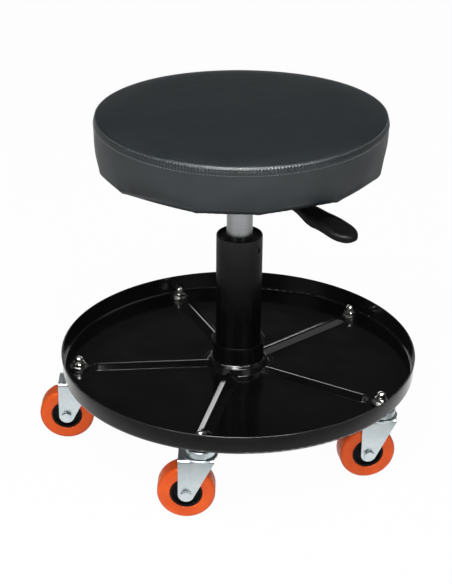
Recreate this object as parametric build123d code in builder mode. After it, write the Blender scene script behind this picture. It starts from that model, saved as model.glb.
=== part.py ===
# Rolling mechanic stool: five swivel casters, a round tool tray, a gas column and a padded seat.
# Millimetres, Z up. The origin is on the floor, on the axis of the column.
# X points to the right and Y to the back, seen from the side that shows the lever on the right.
from build123d import *
import os
from math import atan2, cos, radians, sin, tan

os.makedirs("parts", exist_ok=True)

# Clearances and fits
running_clearance = 0.05
ball_clearance = 0.1
hole_clearance = 0.3
overrun = 5.0

# Casters: places round the tray
caster_count = 5
stem_inset = 18.9
front_stem_angle = 257.87
trail_angles = [180.0, 190.0, 186.0, 176.0, 181.0]
trail = 14.5
caster_height = 82.4

# Wheels
wheel_radius = 30.0
wheel_width = 24.0
tread_thickness = 13.2
tread_edge_radius = 4.5
tread_inner_chamfer = 0.8
hub_width = 25.0
hub_boss_radius = 8.0
hub_rim_thickness = 2.6
hub_rim_setback = 0.8
hub_dish_depth = 5.0
hub_corner_radius = 0.6
axle_radius = 3.0
sleeve_wall = 1.4
axle_head_across = 10.0
axle_head_height = 4.0
axle_nut_height = 5.5
axle_end_rise = 1.5

# Forks
fork_sheet = 2.0
fork_side_gap = 0.3
fork_tip_radius = 8.3
fork_bend_radius = 3.0
fork_front_reach = 14.5
crown_radius = 17.8
crown_lip_width = 1.8
crown_lip_height = 1.0
swivel_gap = 1.0

# Caster stems with their raceway cups
stem_radius = 3.0
stem_flange_radius = 9.0
stem_flange_height = 3.0
cup_radius = 15.5
cup_height = 7.6
cup_wall = 2.1
cup_edge_radius = 1.6
kingpin_radius = 5.0
kingpin_head_radius = 8.0
kingpin_head_height = 1.8
swivel_ball_radius = 2.0
swivel_ball_circle_radius = 10.9
swivel_ball_count = 12

# Cap nuts and washers
cap_nut_across = 12.6
cap_nut_hex_height = 4.8
cap_nut_dome_radius = 4.8
cap_nut_height = 12.0
thread_engagement = 7.0
thread_relief = 1.0
washer_radius = 10.0
washer_thickness = 1.6

# Tray
tray_radius = 195.3
tray_wall_lean = 1.1
tray_depth = 21.0
tray_sheet = 1.2
tray_corner_radius = 2.6
boss_foot_radius = 34.5
boss_top_radius = 31.0
boss_rise = 7.5
boss_edge_radius = 1.4
pad_radius = 11.5
pad_rise = 0.6
rib_width = 13.0
rib_rise = 4.0
rib_end_gap = 4.5
rib_slope_length = 11.0

# Column collar and its weld
collar_radius = 28.5
collar_rise = 23.3
collar_drop = 4.4
collar_lip_width = 0.8
collar_lip_height = 2.4
weld_leg = 2.2

# Column tube
column_radius = 25.0
column_wall = 2.0
column_top_height = 240.1
column_drop = 2.4
column_end_thickness = 3.0
column_taper_drop = 0.7
column_edge_radius = 1.2
snap_hole_radius = 2.8
snap_hole_drop = 13.4
snap_hole_angles = [-35.0, -8.0, 145.0, 172.0]
bush_length = 57.0
bush_recess = 3.0
bush_inner_wall = 2.4
bush_outer_wall = 1.8
bush_floor = 6.0

# Rod end: bearing, stop, washer and clip
spigot_radius = 4.0
spigot_tail = 2.2
spigot_chamfer = 0.6
race_radius = 9.0
race_thickness = 1.5
thrust_ball_radius = 1.5
thrust_ball_circle_radius = 6.6
thrust_ball_count = 9
bump_stop_height = 8.0
rod_washer_radius = 8.0
clip_radius = 6.6
clip_thickness = 1.2
clip_groove_depth = 0.9

# Gas spring
rod_radius = 5.0
rod_neck_radius = 3.5
rod_neck_rise = 1.5
cylinder_radius = 14.0
cylinder_wall = 1.5
cylinder_taper_length = 30.0
cylinder_taper_drop = 0.6
lift_down = 25.0
lift_up = 75.0
stop_clearance = 2.0
rod_guide_length = 12.0
piston_length = 12.0
piston_groove_depth = 1.6
cylinder_cap_thickness = 4.0
valve_body_length = 18.0
valve_bore_depth = 12.0
valve_pin_radius = 3.5
valve_pin_rise = 3.6
valve_pin_tail = 6.0
valve_pin_edge_radius = 1.8

# Seat plate, housing and socket
seat_board_height = 324.0
plate_size = 150.0
plate_thickness = 2.5
plate_corner_radius = 14.0
plate_screw_spacing = 120.0
housing_length = 70.0
housing_width = 48.0
housing_depth = 24.0
housing_sheet = 2.0
housing_corner_radius = 4.0
socket_wall = 3.0
socket_drop = 23.0
cylinder_seat_rise = 1.5
screw_radius = 3.0
screw_head_across = 10.0
screw_head_height = 4.0
tee_nut_wall = 1.1
tee_nut_flange_radius = 9.0
tee_nut_flange_thickness = 1.2
tee_nut_setback = 1.0

# Seat
seat_radius = 152.8
seat_waist_inset = 2.2
seat_foot_inset = 9.4
seat_foot_rise = 15.0
seam_rise = 48.6
side_bulge = 0.5
panel_edge_rise = 5.4
panel_edge_width = 6.5
crown_rise = 5.0
cover_thickness = 1.1
foam_clearance = 0.1
hem_width = 16.0
board_inset = 12.0
board_thickness = 12.0
staple_count = 36
staple_length = 9.0
staple_wire = 0.9
staple_leg = 5.0

# Lever
lever_angle = -50.0
pivot_reach = 26.0
pivot_radius = 2.5
pivot_end_rise = 1.6
lever_gap = 0.35
lever_bar_height = 9.0
lever_bar_width = 6.0
lever_nose_reach = 6.5
lever_wire_radius = 2.5
lever_bar_reach = 31.0
lever_bend_reach = 58.0
lever_bend_radius = 40.0
lever_end_setback = 10.0
lever_end_drop = 9.6
lever_slot_clearance = 2.2
handle_neck_reach = 118.0
handle_stem_length = 34.0
handle_paddle_length = 54.0
handle_shoulder_run = 13.0
handle_dish_run = 12.0
handle_stem_width = 19.0
handle_stem_thickness = 10.4
handle_paddle_width = 26.0
handle_paddle_thickness = 7.8
handle_tip_drop = 3.6
handle_tip_bulge = 0.6
handle_neck_radius = 9.0
handle_tip_round = 8.0
handle_edge_radius = 1.5
handle_dish_depth = 1.3
handle_dish_rim = 3.0

# Heights that follow from the sizes above, from the tray down to the wheels
tray_floor_height = caster_height + tray_sheet
pad_height = tray_floor_height + pad_rise
flange_top_height = caster_height + pad_rise
cup_top_height = flange_top_height - stem_flange_height
cup_bottom_height = cup_top_height - cup_height
crown_lip_top_height = cup_bottom_height - swivel_gap
crown_top_height = crown_lip_top_height - crown_lip_height
crown_bottom_height = crown_top_height - fork_sheet
swivel_ball_height = crown_top_height + ball_clearance + swivel_ball_radius
cup_ceiling_height = swivel_ball_height + swivel_ball_radius + ball_clearance

# Heights of the tray and the column
rim_height = caster_height + tray_depth
boss_height = tray_floor_height + boss_rise
collar_top_height = boss_height + collar_rise
collar_bottom_height = caster_height - collar_drop
column_bottom_height = caster_height - column_drop
column_floor_height = column_bottom_height + column_end_thickness
bush_top_height = column_top_height - bush_recess

# Heights of the rod end and the gas spring
lower_race_top_height = column_floor_height + race_thickness
thrust_ball_height = lower_race_top_height + ball_clearance + thrust_ball_radius
upper_race_bottom_height = thrust_ball_height + thrust_ball_radius + ball_clearance
rod_shoulder_height = upper_race_bottom_height + race_thickness
bump_stop_top_height = rod_shoulder_height + bump_stop_height
cylinder_bottom_height = bump_stop_top_height + lift_down + stop_clearance
piston_bottom_height = cylinder_bottom_height + rod_guide_length + lift_up + stop_clearance
rod_washer_top_height = column_bottom_height - ball_clearance
clip_top_height = rod_washer_top_height - race_thickness - ball_clearance
spigot_end_height = clip_top_height - clip_thickness - ball_clearance - spigot_tail
cylinder_bore = cylinder_radius - cylinder_wall
bush_bore = cylinder_radius + running_clearance

# Heights under the seat
plate_bottom_height = seat_board_height - plate_thickness
housing_bottom_height = plate_bottom_height - housing_depth
housing_floor_height = housing_bottom_height + housing_sheet
cylinder_top_height = housing_floor_height + cylinder_seat_rise
socket_bottom_height = housing_floor_height - socket_drop - housing_sheet
valve_pin_top_height = cylinder_top_height + valve_pin_rise
lever_bottom_height = valve_pin_top_height + lever_gap
lever_centre_height = lever_bottom_height + lever_bar_height / 2
hem_height = seat_board_height - cover_thickness

# Radii that follow
stem_circle_radius = tray_radius - stem_inset
tray_foot_radius = tray_radius - tray_wall_lean
seat_waist_radius = seat_radius - seat_waist_inset
seat_foot_radius = seat_radius - seat_foot_inset
board_radius = seat_radius - board_inset
hub_radius = wheel_radius - tread_thickness
sleeve_radius = axle_radius + running_clearance + sleeve_wall
fork_inner_half = hub_width / 2 + fork_side_gap
fork_outer_half = fork_inner_half + fork_sheet
stem_top_height = pad_height + washer_thickness + thread_engagement

# Reaches along the lever that follow from the handle's neck
lever_end_reach = handle_neck_reach - lever_end_setback
handle_start_reach = handle_neck_reach - handle_stem_length
handle_shoulder_reach = handle_neck_reach + handle_shoulder_run
handle_dish_reach = handle_neck_reach + handle_dish_run
handle_tip_reach = handle_neck_reach + handle_paddle_length


# Planes: an upright plane holds the direction of an angle as its X and the height as its Y
def upright_plane(angle, x=0, y=0):
    turn = radians(angle)
    return Plane(origin=(x, y, 0), x_dir=(cos(turn), sin(turn), 0), z_dir=(sin(turn), -cos(turn), 0))


def level_plane(height, angle=0, x=0, y=0):
    turn = radians(angle)
    return Plane(origin=(x, y, height), x_dir=(cos(turn), sin(turn), 0), z_dir=(0, 0, 1))


def stem_angle(index):
    return front_stem_angle + 360 * index / caster_count


def stem_place(index):
    turn = radians(stem_angle(index))
    return stem_circle_radius * cos(turn), stem_circle_radius * sin(turn)


def trail_angle(index):
    return trail_angles[index % len(trail_angles)]


# A closed outline of straight runs with a radius at each corner, as a face
def outline(plane, points, radius=0):
    with BuildSketch(plane) as section:
        with BuildLine():
            FilletPolyline(*points, radius=radius, close=True)
        make_face()
    return section.sketch


# A plain turned section, from a lower to an upper height and from an inner to an outer radius
def band(inner, outer, bottom, top):
    return [(inner, bottom), (outer, bottom), (outer, top), (inner, top)]


# Shares of the section of a pressed rib, from its foot to its rounded crest
flank_width_share = 0.28
flank_rise_share = 0.86


def rib_section(plane, width, rise, foot):
    half = width / 2
    shoulder = foot + rise * flank_rise_share
    crest = half * flank_width_share
    with BuildSketch(plane) as section:
        with BuildLine():
            Polyline((-crest, shoulder), (-half, foot), (half, foot), (crest, shoulder))
            ThreePointArc((crest, shoulder), (0, foot + rise), (-crest, shoulder))
        make_face()
    return section.sketch


# Tray: a revolved dish of constant sheet, with pressed pads and ribs
# A bent sheet keeps its thickness when its inner corner moves by the sheet times tan(bend / 2)
boss_bend = atan2(boss_rise, boss_foot_radius - boss_top_radius)
wall_bend = atan2(tray_depth, tray_radius - tray_foot_radius)
boss_shift = tray_sheet * tan(boss_bend / 2)
wall_shift = tray_sheet * tan(wall_bend / 2)
collar_hole_radius = collar_radius + running_clearance
rib_start_radius = (boss_foot_radius + boss_top_radius) / 2
rib_tip_radius = stem_circle_radius - pad_radius - rib_end_gap
rib_full_radius = rib_tip_radius - rib_slope_length

with BuildPart() as tray:
    with BuildSketch(Plane.XZ):
        with BuildLine():
            FilletPolyline(
                (collar_hole_radius, boss_height - tray_sheet),
                (boss_top_radius - boss_shift, boss_height - tray_sheet),
                (boss_foot_radius - boss_shift, caster_height),
                (tray_foot_radius, caster_height),
                (tray_radius, rim_height),
                (tray_radius - tray_sheet / sin(wall_bend), rim_height),
                (tray_foot_radius - wall_shift, tray_floor_height),
                (boss_foot_radius, tray_floor_height),
                (boss_top_radius, boss_height),
                (collar_hole_radius, boss_height),
                radius=[
                    0,
                    boss_edge_radius,
                    boss_edge_radius + tray_sheet,
                    tray_corner_radius + tray_sheet,
                    0,
                    0,
                    tray_corner_radius,
                    boss_edge_radius,
                    boss_edge_radius + tray_sheet,
                    0,
                ],
                close=True,
            )
        make_face()
    revolve(axis=Axis.Z)
    for index in range(caster_count):
        x, y = stem_place(index)
        with BuildSketch(level_plane(caster_height, x=x, y=y)):
            Circle(pad_radius)
        extrude(amount=tray_sheet + pad_rise)
        with BuildSketch(level_plane(caster_height, x=x, y=y)):
            Circle(pad_radius - tray_sheet)
        extrude(amount=pad_rise, mode=Mode.SUBTRACT)
        with BuildSketch(level_plane(caster_height, x=x, y=y)):
            Circle(stem_radius + hole_clearance)
        extrude(amount=tray_sheet + pad_rise, mode=Mode.SUBTRACT)
    for index in range(caster_count):
        across = upright_plane(stem_angle(index) + 90)
        sizes = [
            (rib_start_radius, rib_width, rib_rise),
            (rib_full_radius, rib_width, rib_rise),
            (rib_tip_radius, rib_width * flank_width_share, tray_sheet / 2),
        ]
        for foot, mode in [(tray_floor_height, Mode.ADD), (caster_height, Mode.SUBTRACT)]:
            loft(
                [rib_section(across.offset(radius), width, rise, foot) for radius, width, rise in sizes],
                ruled=True,
                mode=mode,
            )
tray.part.label = "tray"
export_step(tray.part, "parts/tray.step")


# The column narrows from the top of the collar down to its own foot
def column_radius_at(height):
    share = (collar_top_height - height) / (collar_top_height - column_bottom_height)
    return column_radius - column_taper_drop * share


def cylinder_radius_at(height):
    share = (height - cylinder_top_height + cylinder_taper_length) / cylinder_taper_length
    return cylinder_radius - cylinder_taper_drop * max(share, 0)


# Column collar: a short tapered tube with a lip, and the weld bead at its foot
collar_lip_height_low = collar_top_height - collar_lip_height
with BuildPart() as column_collar:
    points = [
        (column_radius_at(collar_bottom_height) + running_clearance, collar_bottom_height),
        (collar_radius, collar_bottom_height),
        (collar_radius, boss_height),
        (collar_radius + weld_leg, boss_height),
        (collar_radius, boss_height + weld_leg),
        (collar_radius, collar_lip_height_low),
        (collar_radius + collar_lip_width, collar_lip_height_low + collar_lip_width),
        (collar_radius + collar_lip_width, collar_top_height),
        (column_radius + running_clearance, collar_top_height),
    ]
    revolve(outline(Plane.XZ, points), axis=Axis.Z)
column_collar.part.label = "column_collar"
export_step(column_collar.part, "parts/column_collar.step")

# Column tube: closed at its foot but for the rod's hole, with snap holes near its top
column_bore = column_radius - column_wall
with BuildPart() as column_tube:
    points = [
        (spigot_radius + hole_clearance, column_bottom_height),
        (column_radius_at(column_bottom_height), column_bottom_height),
        (column_radius, collar_top_height),
        (column_radius, column_top_height),
        (column_bore, column_top_height),
        (column_bore, collar_top_height),
        (column_radius_at(column_floor_height) - column_wall, column_floor_height),
        (spigot_radius + hole_clearance, column_floor_height),
    ]
    corner_radii = [0, column_edge_radius, 0, column_edge_radius, column_wall / 4, 0, 0, 0]
    revolve(outline(Plane.XZ, points, corner_radii), axis=Axis.Z)
    for angle in snap_hole_angles:
        turn = radians(angle)
        with BuildSketch(Plane((0, 0, column_top_height - snap_hole_drop), z_dir=(cos(turn), sin(turn), 0))):
            Circle(snap_hole_radius)
        extrude(amount=column_radius + overrun, mode=Mode.SUBTRACT)
column_tube.part.label = "column_tube"
export_step(column_tube.part, "parts/column_tube.step")

# Guide bush: cored out from below, with a snap lug in each hole of the tube
bush_radius = column_bore - running_clearance
bush_bottom_height = bush_top_height - bush_length
with BuildPart() as guide_bush:
    points = [
        (bush_bore, bush_bottom_height),
        (bush_bore + bush_inner_wall, bush_bottom_height),
        (bush_bore + bush_inner_wall, bush_top_height - bush_floor),
        (bush_radius - bush_outer_wall, bush_top_height - bush_floor),
        (bush_radius - bush_outer_wall, bush_bottom_height),
        (bush_radius, bush_bottom_height),
        (bush_radius, bush_top_height),
        (bush_bore, bush_top_height),
    ]
    revolve(outline(Plane.XZ, points), axis=Axis.Z)
    for angle in snap_hole_angles:
        turn = radians(angle)
        lug_start = bush_radius - bush_outer_wall
        with BuildSketch(
            Plane(
                (lug_start * cos(turn), lug_start * sin(turn), column_top_height - snap_hole_drop),
                z_dir=(cos(turn), sin(turn), 0),
            )
        ):
            Circle(snap_hole_radius - hole_clearance)
        extrude(amount=bush_outer_wall + column_wall / 2)
guide_bush.part.label = "guide_bush"
export_step(guide_bush.part, "parts/guide_bush.step")

# Thrust bearing: it carries the rod's shoulder on the column's floor
with BuildPart() as lower_race:
    points = band(spigot_radius + hole_clearance, race_radius, column_floor_height, lower_race_top_height)
    revolve(outline(Plane.XZ, points), axis=Axis.Z)
lower_race.part.label = "lower_race"
export_step(lower_race.part, "parts/lower_race.step")

with BuildPart() as thrust_balls:
    with Locations((0, 0, thrust_ball_height)):
        with PolarLocations(thrust_ball_circle_radius, thrust_ball_count):
            Sphere(thrust_ball_radius)
thrust_balls.part.label = "thrust_balls"
export_step(thrust_balls.part, "parts/thrust_balls.step")

with BuildPart() as upper_race:
    points = band(spigot_radius + running_clearance, race_radius, upper_race_bottom_height, rod_shoulder_height)
    revolve(outline(Plane.XZ, points), axis=Axis.Z)
upper_race.part.label = "upper_race"
export_step(upper_race.part, "parts/upper_race.step")

with BuildPart() as bump_stop:
    points = band(rod_radius + hole_clearance, race_radius, rod_shoulder_height, bump_stop_top_height)
    revolve(outline(Plane.XZ, points, [0, 0, race_thickness, 0]), axis=Axis.Z)
bump_stop.part.label = "bump_stop"
export_step(bump_stop.part, "parts/bump_stop.step")

# Piston rod: a spigot with the clip's groove below its shoulder, a neck for the piston above
groove_radius = spigot_radius - clip_groove_depth
piston_top_height = piston_bottom_height + piston_length
with BuildPart() as piston_rod:
    points = [
        (0, spigot_end_height),
        (spigot_radius - spigot_chamfer, spigot_end_height),
        (spigot_radius, spigot_end_height + spigot_chamfer),
        (spigot_radius, clip_top_height - clip_thickness - ball_clearance),
        (groove_radius, clip_top_height - clip_thickness - ball_clearance),
        (groove_radius, clip_top_height + ball_clearance),
        (spigot_radius, clip_top_height + ball_clearance),
        (spigot_radius, rod_shoulder_height),
        (rod_radius, rod_shoulder_height),
        (rod_radius, piston_bottom_height),
        (rod_neck_radius, piston_bottom_height),
        (rod_neck_radius, piston_top_height + rod_neck_rise),
        (0, piston_top_height + rod_neck_rise),
    ]
    revolve(outline(Plane.XZ, points), axis=Axis.Z)
piston_rod.part.label = "piston_rod"
export_step(piston_rod.part, "parts/piston_rod.step")

with BuildPart() as piston:
    piston_radius = cylinder_bore - running_clearance
    piston_third = piston_length / 3
    points = [
        (rod_neck_radius, piston_bottom_height),
        (piston_radius, piston_bottom_height),
        (piston_radius, piston_bottom_height + piston_third),
        (piston_radius - piston_groove_depth, piston_bottom_height + piston_third),
        (piston_radius - piston_groove_depth, piston_top_height - piston_third),
        (piston_radius, piston_top_height - piston_third),
        (piston_radius, piston_top_height),
        (rod_neck_radius, piston_top_height),
    ]
    revolve(outline(Plane.XZ, points), axis=Axis.Z)
piston.part.label = "piston"
export_step(piston.part, "parts/piston.step")

# Rod clip and its washer: they hold the spigot under the column
with BuildPart() as rod_clip:
    with BuildSketch(level_plane(clip_top_height - clip_thickness)):
        Circle(clip_radius)
        Circle(groove_radius + ball_clearance, mode=Mode.SUBTRACT)
        with Locations((clip_radius, 0)):
            Rectangle(2 * clip_radius, 2 * groove_radius - clip_groove_depth, mode=Mode.SUBTRACT)
    extrude(amount=clip_thickness)
    with BuildSketch(level_plane(rod_washer_top_height - race_thickness)):
        Circle(rod_washer_radius)
        Circle(spigot_radius + running_clearance, mode=Mode.SUBTRACT)
    extrude(amount=race_thickness)
rod_clip.part.label = "rod_clip"
export_step(rod_clip.part, "parts/rod_clip.step")

# Gas cylinder: a straight tube whose upper end tapers into the socket, closed by a cap with the pin's bore
valve_bore = valve_pin_radius + running_clearance
valve_body_top_height = cylinder_top_height - cylinder_cap_thickness
taper_start_height = cylinder_top_height - cylinder_taper_length
with BuildPart() as gas_cylinder:
    points = [
        (cylinder_bore, cylinder_bottom_height),
        (cylinder_radius, cylinder_bottom_height),
        (cylinder_radius, taper_start_height),
        (cylinder_radius - cylinder_taper_drop, cylinder_top_height),
        (valve_bore, cylinder_top_height),
        (valve_bore, valve_body_top_height),
        (cylinder_bore, valve_body_top_height),
    ]
    corner_radii = [0, cylinder_wall / 3, 0, cylinder_wall / 3, 0, 0, 0]
    revolve(outline(Plane.XZ, points, corner_radii), axis=Axis.Z)
gas_cylinder.part.label = "gas_cylinder"
export_step(gas_cylinder.part, "parts/gas_cylinder.step")

with BuildPart() as rod_guide:
    points = band(
        rod_radius + running_clearance,
        cylinder_bore - running_clearance,
        cylinder_bottom_height,
        cylinder_bottom_height + rod_guide_length,
    )
    revolve(outline(Plane.XZ, points), axis=Axis.Z)
rod_guide.part.label = "rod_guide"
export_step(rod_guide.part, "parts/rod_guide.step")

with BuildPart() as valve_body:
    points = [
        (0, valve_body_top_height - valve_body_length),
        (cylinder_bore - running_clearance, valve_body_top_height - valve_body_length),
        (cylinder_bore - running_clearance, valve_body_top_height),
        (valve_bore, valve_body_top_height),
        (valve_bore, valve_body_top_height - valve_bore_depth),
        (0, valve_body_top_height - valve_bore_depth),
    ]
    revolve(outline(Plane.XZ, points), axis=Axis.Z)
valve_body.part.label = "valve_body"
export_step(valve_body.part, "parts/valve_body.step")

with BuildPart() as valve_pin:
    points = band(0, valve_pin_radius, valve_body_top_height - valve_pin_tail, valve_pin_top_height)
    revolve(outline(Plane.XZ, points, [0, 0, valve_pin_edge_radius, 0]), axis=Axis.Z)
valve_pin.part.label = "valve_pin"
export_step(valve_pin.part, "parts/valve_pin.step")

# Taper socket: welded through the floor of the housing
socket_radius = cylinder_radius + socket_wall
with BuildPart() as taper_socket:
    points = [
        (cylinder_radius_at(socket_bottom_height) + running_clearance, socket_bottom_height),
        (socket_radius, socket_bottom_height),
        (socket_radius, housing_floor_height),
        (cylinder_radius_at(housing_floor_height) + running_clearance, housing_floor_height),
    ]
    revolve(outline(Plane.XZ, points), axis=Axis.Z)
taper_socket.part.label = "taper_socket"
export_step(taper_socket.part, "parts/taper_socket.step")

# Housing: a pressed pan under the seat plate, with a slot for the lever and holes for its pivot
lever_plane = upright_plane(lever_angle)
with BuildPart() as housing:
    with BuildSketch(level_plane(housing_bottom_height, lever_angle)):
        RectangleRounded(housing_length, housing_width, housing_corner_radius)
    extrude(amount=housing_depth)
    with BuildSketch(level_plane(housing_floor_height, lever_angle)):
        RectangleRounded(
            housing_length - 2 * housing_sheet,
            housing_width - 2 * housing_sheet,
            housing_corner_radius - housing_sheet,
        )
    extrude(amount=housing_depth, mode=Mode.SUBTRACT)
    with BuildSketch(level_plane(housing_bottom_height)):
        Circle(socket_radius + running_clearance)
    extrude(amount=housing_sheet, mode=Mode.SUBTRACT)
    slot_size = 2 * (lever_wire_radius + lever_slot_clearance)
    with BuildSketch(lever_plane):
        with Locations((housing_length / 2, lever_centre_height)):
            Rectangle(2 * housing_corner_radius, slot_size)
    extrude(amount=slot_size / 2, both=True, mode=Mode.SUBTRACT)
    with BuildSketch(lever_plane):
        with Locations((pivot_reach, lever_centre_height)):
            Circle(pivot_radius + running_clearance)
    extrude(amount=housing_width, both=True, mode=Mode.SUBTRACT)
housing.part.label = "housing"
export_step(housing.part, "parts/housing.step")

# Seat plate, its screws and their tee nuts
with BuildPart() as seat_plate:
    with BuildSketch(level_plane(plate_bottom_height, lever_angle)):
        RectangleRounded(plate_size, plate_size, plate_corner_radius)
        with GridLocations(plate_screw_spacing, plate_screw_spacing, 2, 2):
            Circle(screw_radius + hole_clearance, mode=Mode.SUBTRACT)
    extrude(amount=plate_thickness)
seat_plate.part.label = "seat_plate"
export_step(seat_plate.part, "parts/seat_plate.step")

board_top_height = seat_board_height + board_thickness
with BuildPart() as plate_screws:
    with BuildSketch(level_plane(plate_bottom_height - screw_head_height, lever_angle)):
        with GridLocations(plate_screw_spacing, plate_screw_spacing, 2, 2):
            RegularPolygon(screw_head_across / 2, 6, major_radius=False)
    extrude(amount=screw_head_height)
    with BuildSketch(level_plane(plate_bottom_height, lever_angle)):
        with GridLocations(plate_screw_spacing, plate_screw_spacing, 2, 2):
            Circle(screw_radius)
    extrude(amount=board_top_height - tee_nut_setback - plate_bottom_height)
plate_screws.part.label = "plate_screws"
export_step(plate_screws.part, "parts/plate_screws.step")

tee_nut_radius = screw_radius + running_clearance + tee_nut_wall
with BuildPart() as tee_nuts:
    with BuildSketch(level_plane(seat_board_height + tee_nut_setback, lever_angle)):
        with GridLocations(plate_screw_spacing, plate_screw_spacing, 2, 2):
            Circle(tee_nut_radius)
            Circle(screw_radius + running_clearance, mode=Mode.SUBTRACT)
    extrude(amount=board_thickness - tee_nut_setback)
    with BuildSketch(level_plane(board_top_height - tee_nut_flange_thickness, lever_angle)):
        with GridLocations(plate_screw_spacing, plate_screw_spacing, 2, 2):
            Circle(tee_nut_flange_radius)
            Circle(screw_radius + running_clearance, mode=Mode.SUBTRACT)
    extrude(amount=tee_nut_flange_thickness)
tee_nuts.part.label = "tee_nuts"
export_step(tee_nuts.part, "parts/tee_nuts.step")

# Staples: they pin the cover's hem to the board
with BuildPart() as staples:
    staple_reach = board_radius - hem_width / 2
    leg_place = (staple_length - staple_wire) / 2
    for index in range(staple_count):
        with BuildSketch(upright_plane(360 * index / staple_count).offset(staple_reach)):
            with Locations((0, hem_height)):
                Rectangle(staple_length, staple_wire, align=(Align.CENTER, Align.MAX))
            with Locations((-leg_place, hem_height), (leg_place, hem_height)):
                Rectangle(staple_wire, staple_leg, align=(Align.CENTER, Align.MIN))
        extrude(amount=staple_wire / 2, both=True)
staples.part.label = "staples"
export_step(staples.part, "parts/staples.step")

# Seat board: a plywood disc, bored for the tee nuts and pierced by the staples
with BuildPart() as seat_board:
    with BuildSketch(level_plane(seat_board_height, lever_angle)):
        Circle(board_radius)
        with GridLocations(plate_screw_spacing, plate_screw_spacing, 2, 2):
            Circle(tee_nut_radius + running_clearance, mode=Mode.SUBTRACT)
    extrude(amount=board_thickness)
    with BuildSketch(level_plane(board_top_height - tee_nut_flange_thickness, lever_angle)):
        with GridLocations(plate_screw_spacing, plate_screw_spacing, 2, 2):
            Circle(tee_nut_flange_radius + hole_clearance)
    extrude(amount=tee_nut_flange_thickness, mode=Mode.SUBTRACT)
    add(staples.part, mode=Mode.SUBTRACT)
seat_board.part.label = "seat_board"
export_step(seat_board.part, "parts/seat_board.step")

# Shares that place the middle of each arc between its ends
foot_arc_width_share = 0.72
foot_arc_rise_share = 0.4
edge_arc_width_share = 0.29
edge_arc_rise_share = 0.71


# Half of the seat's section: a drawn-in foot, a nearly upright side, the seam's edge and a crowned top
def seat_section(inset):
    bottom = hem_height + inset
    foot = seat_foot_radius - inset
    waist = seat_waist_radius - inset
    waist_height = hem_height + seat_foot_rise
    seam = seat_radius - inset
    seam_height = hem_height + seam_rise
    edge = seat_radius - panel_edge_width
    edge_height = seam_height + panel_edge_rise - inset
    crown_height = edge_height + crown_rise
    with BuildSketch(Plane.XZ) as section:
        with BuildLine():
            Line((0, bottom), (foot, bottom))
            ThreePointArc(
                (foot, bottom),
                (
                    foot + foot_arc_width_share * (waist - foot),
                    bottom + foot_arc_rise_share * (waist_height - bottom),
                ),
                (waist, waist_height),
            )
            ThreePointArc(
                (waist, waist_height),
                ((waist + seam) / 2 + side_bulge, (waist_height + seam_height) / 2),
                (seam, seam_height),
            )
            ThreePointArc(
                (seam, seam_height),
                (
                    seam - edge_arc_width_share * (seam - edge),
                    seam_height + edge_arc_rise_share * (edge_height - seam_height),
                ),
                (edge, edge_height),
            )
            TangentArc((0, crown_height), (edge, edge_height), tangent=(1, 0))
            Line((0, crown_height), (0, bottom))
        make_face()
    return section.sketch


# Seat foam: it stands on the board and wraps the board's edge
with BuildPart() as seat_foam:
    revolve(seat_section(cover_thickness + foam_clearance), axis=Axis.Z)
    with BuildSketch(level_plane(seat_board_height)):
        Circle(board_radius)
    extrude(amount=board_thickness, mode=Mode.SUBTRACT)
seat_foam.part.label = "seat_foam"
export_step(seat_foam.part, "parts/seat_foam.step")

# Seat cover: a skin over the foam, turned in under the board as a hem
with BuildPart() as seat_cover:
    revolve(seat_section(0), axis=Axis.Z)
    revolve(seat_section(cover_thickness), axis=Axis.Z, mode=Mode.SUBTRACT)
    with BuildSketch(level_plane(hem_height)):
        Circle(seat_foot_radius - hem_width)
    extrude(amount=cover_thickness, mode=Mode.SUBTRACT)
    add(staples.part, mode=Mode.SUBTRACT)
seat_cover.part.label = "seat_cover"
export_step(seat_cover.part, "parts/seat_cover.step")


# The lever's bent wire; the handle's bore is the same wire, a little thicker
def lever_wire(radius):
    with BuildPart() as wire:
        with BuildLine(lever_plane) as path:
            FilletPolyline(
                (lever_bar_reach - lever_wire_radius, lever_centre_height),
                (lever_bend_reach, lever_centre_height),
                (lever_end_reach, lever_centre_height - lever_end_drop),
                radius=lever_bend_radius,
            )
        with BuildSketch(Plane(path.line @ 0, z_dir=path.line % 0)):
            Circle(radius)
        sweep()
    return wire.part


# Lever arm: a flat bar over the valve pin, running out into the wire
with BuildPart() as lever_arm:
    with BuildSketch(lever_plane):
        with Locations(((lever_bar_reach - lever_nose_reach) / 2, lever_centre_height)):
            RectangleRounded(lever_bar_reach + lever_nose_reach, lever_bar_height, lever_wire_radius / 2)
    extrude(amount=lever_bar_width / 2, both=True)
    add(lever_wire(lever_wire_radius))
    with BuildSketch(lever_plane):
        with Locations((pivot_reach, lever_centre_height)):
            Circle(pivot_radius + running_clearance)
    extrude(amount=lever_bar_width, both=True, mode=Mode.SUBTRACT)
lever_arm.part.label = "lever_arm"
export_step(lever_arm.part, "parts/lever_arm.step")

# Handle: its side view is a stem that follows the wire and an arched paddle
lever_slope = lever_end_drop / (lever_end_reach - lever_bend_reach)
handle_start_height = lever_centre_height - lever_slope * (handle_start_reach - lever_bend_reach)
handle_neck_height = lever_centre_height - lever_slope * (handle_neck_reach - lever_bend_reach)
handle_tip_height = handle_neck_height - handle_tip_drop
paddle_middle_reach = (handle_neck_reach + handle_tip_reach) / 2
paddle_middle_height = (handle_neck_height + handle_tip_height) / 2 + handle_tip_bulge


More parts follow.
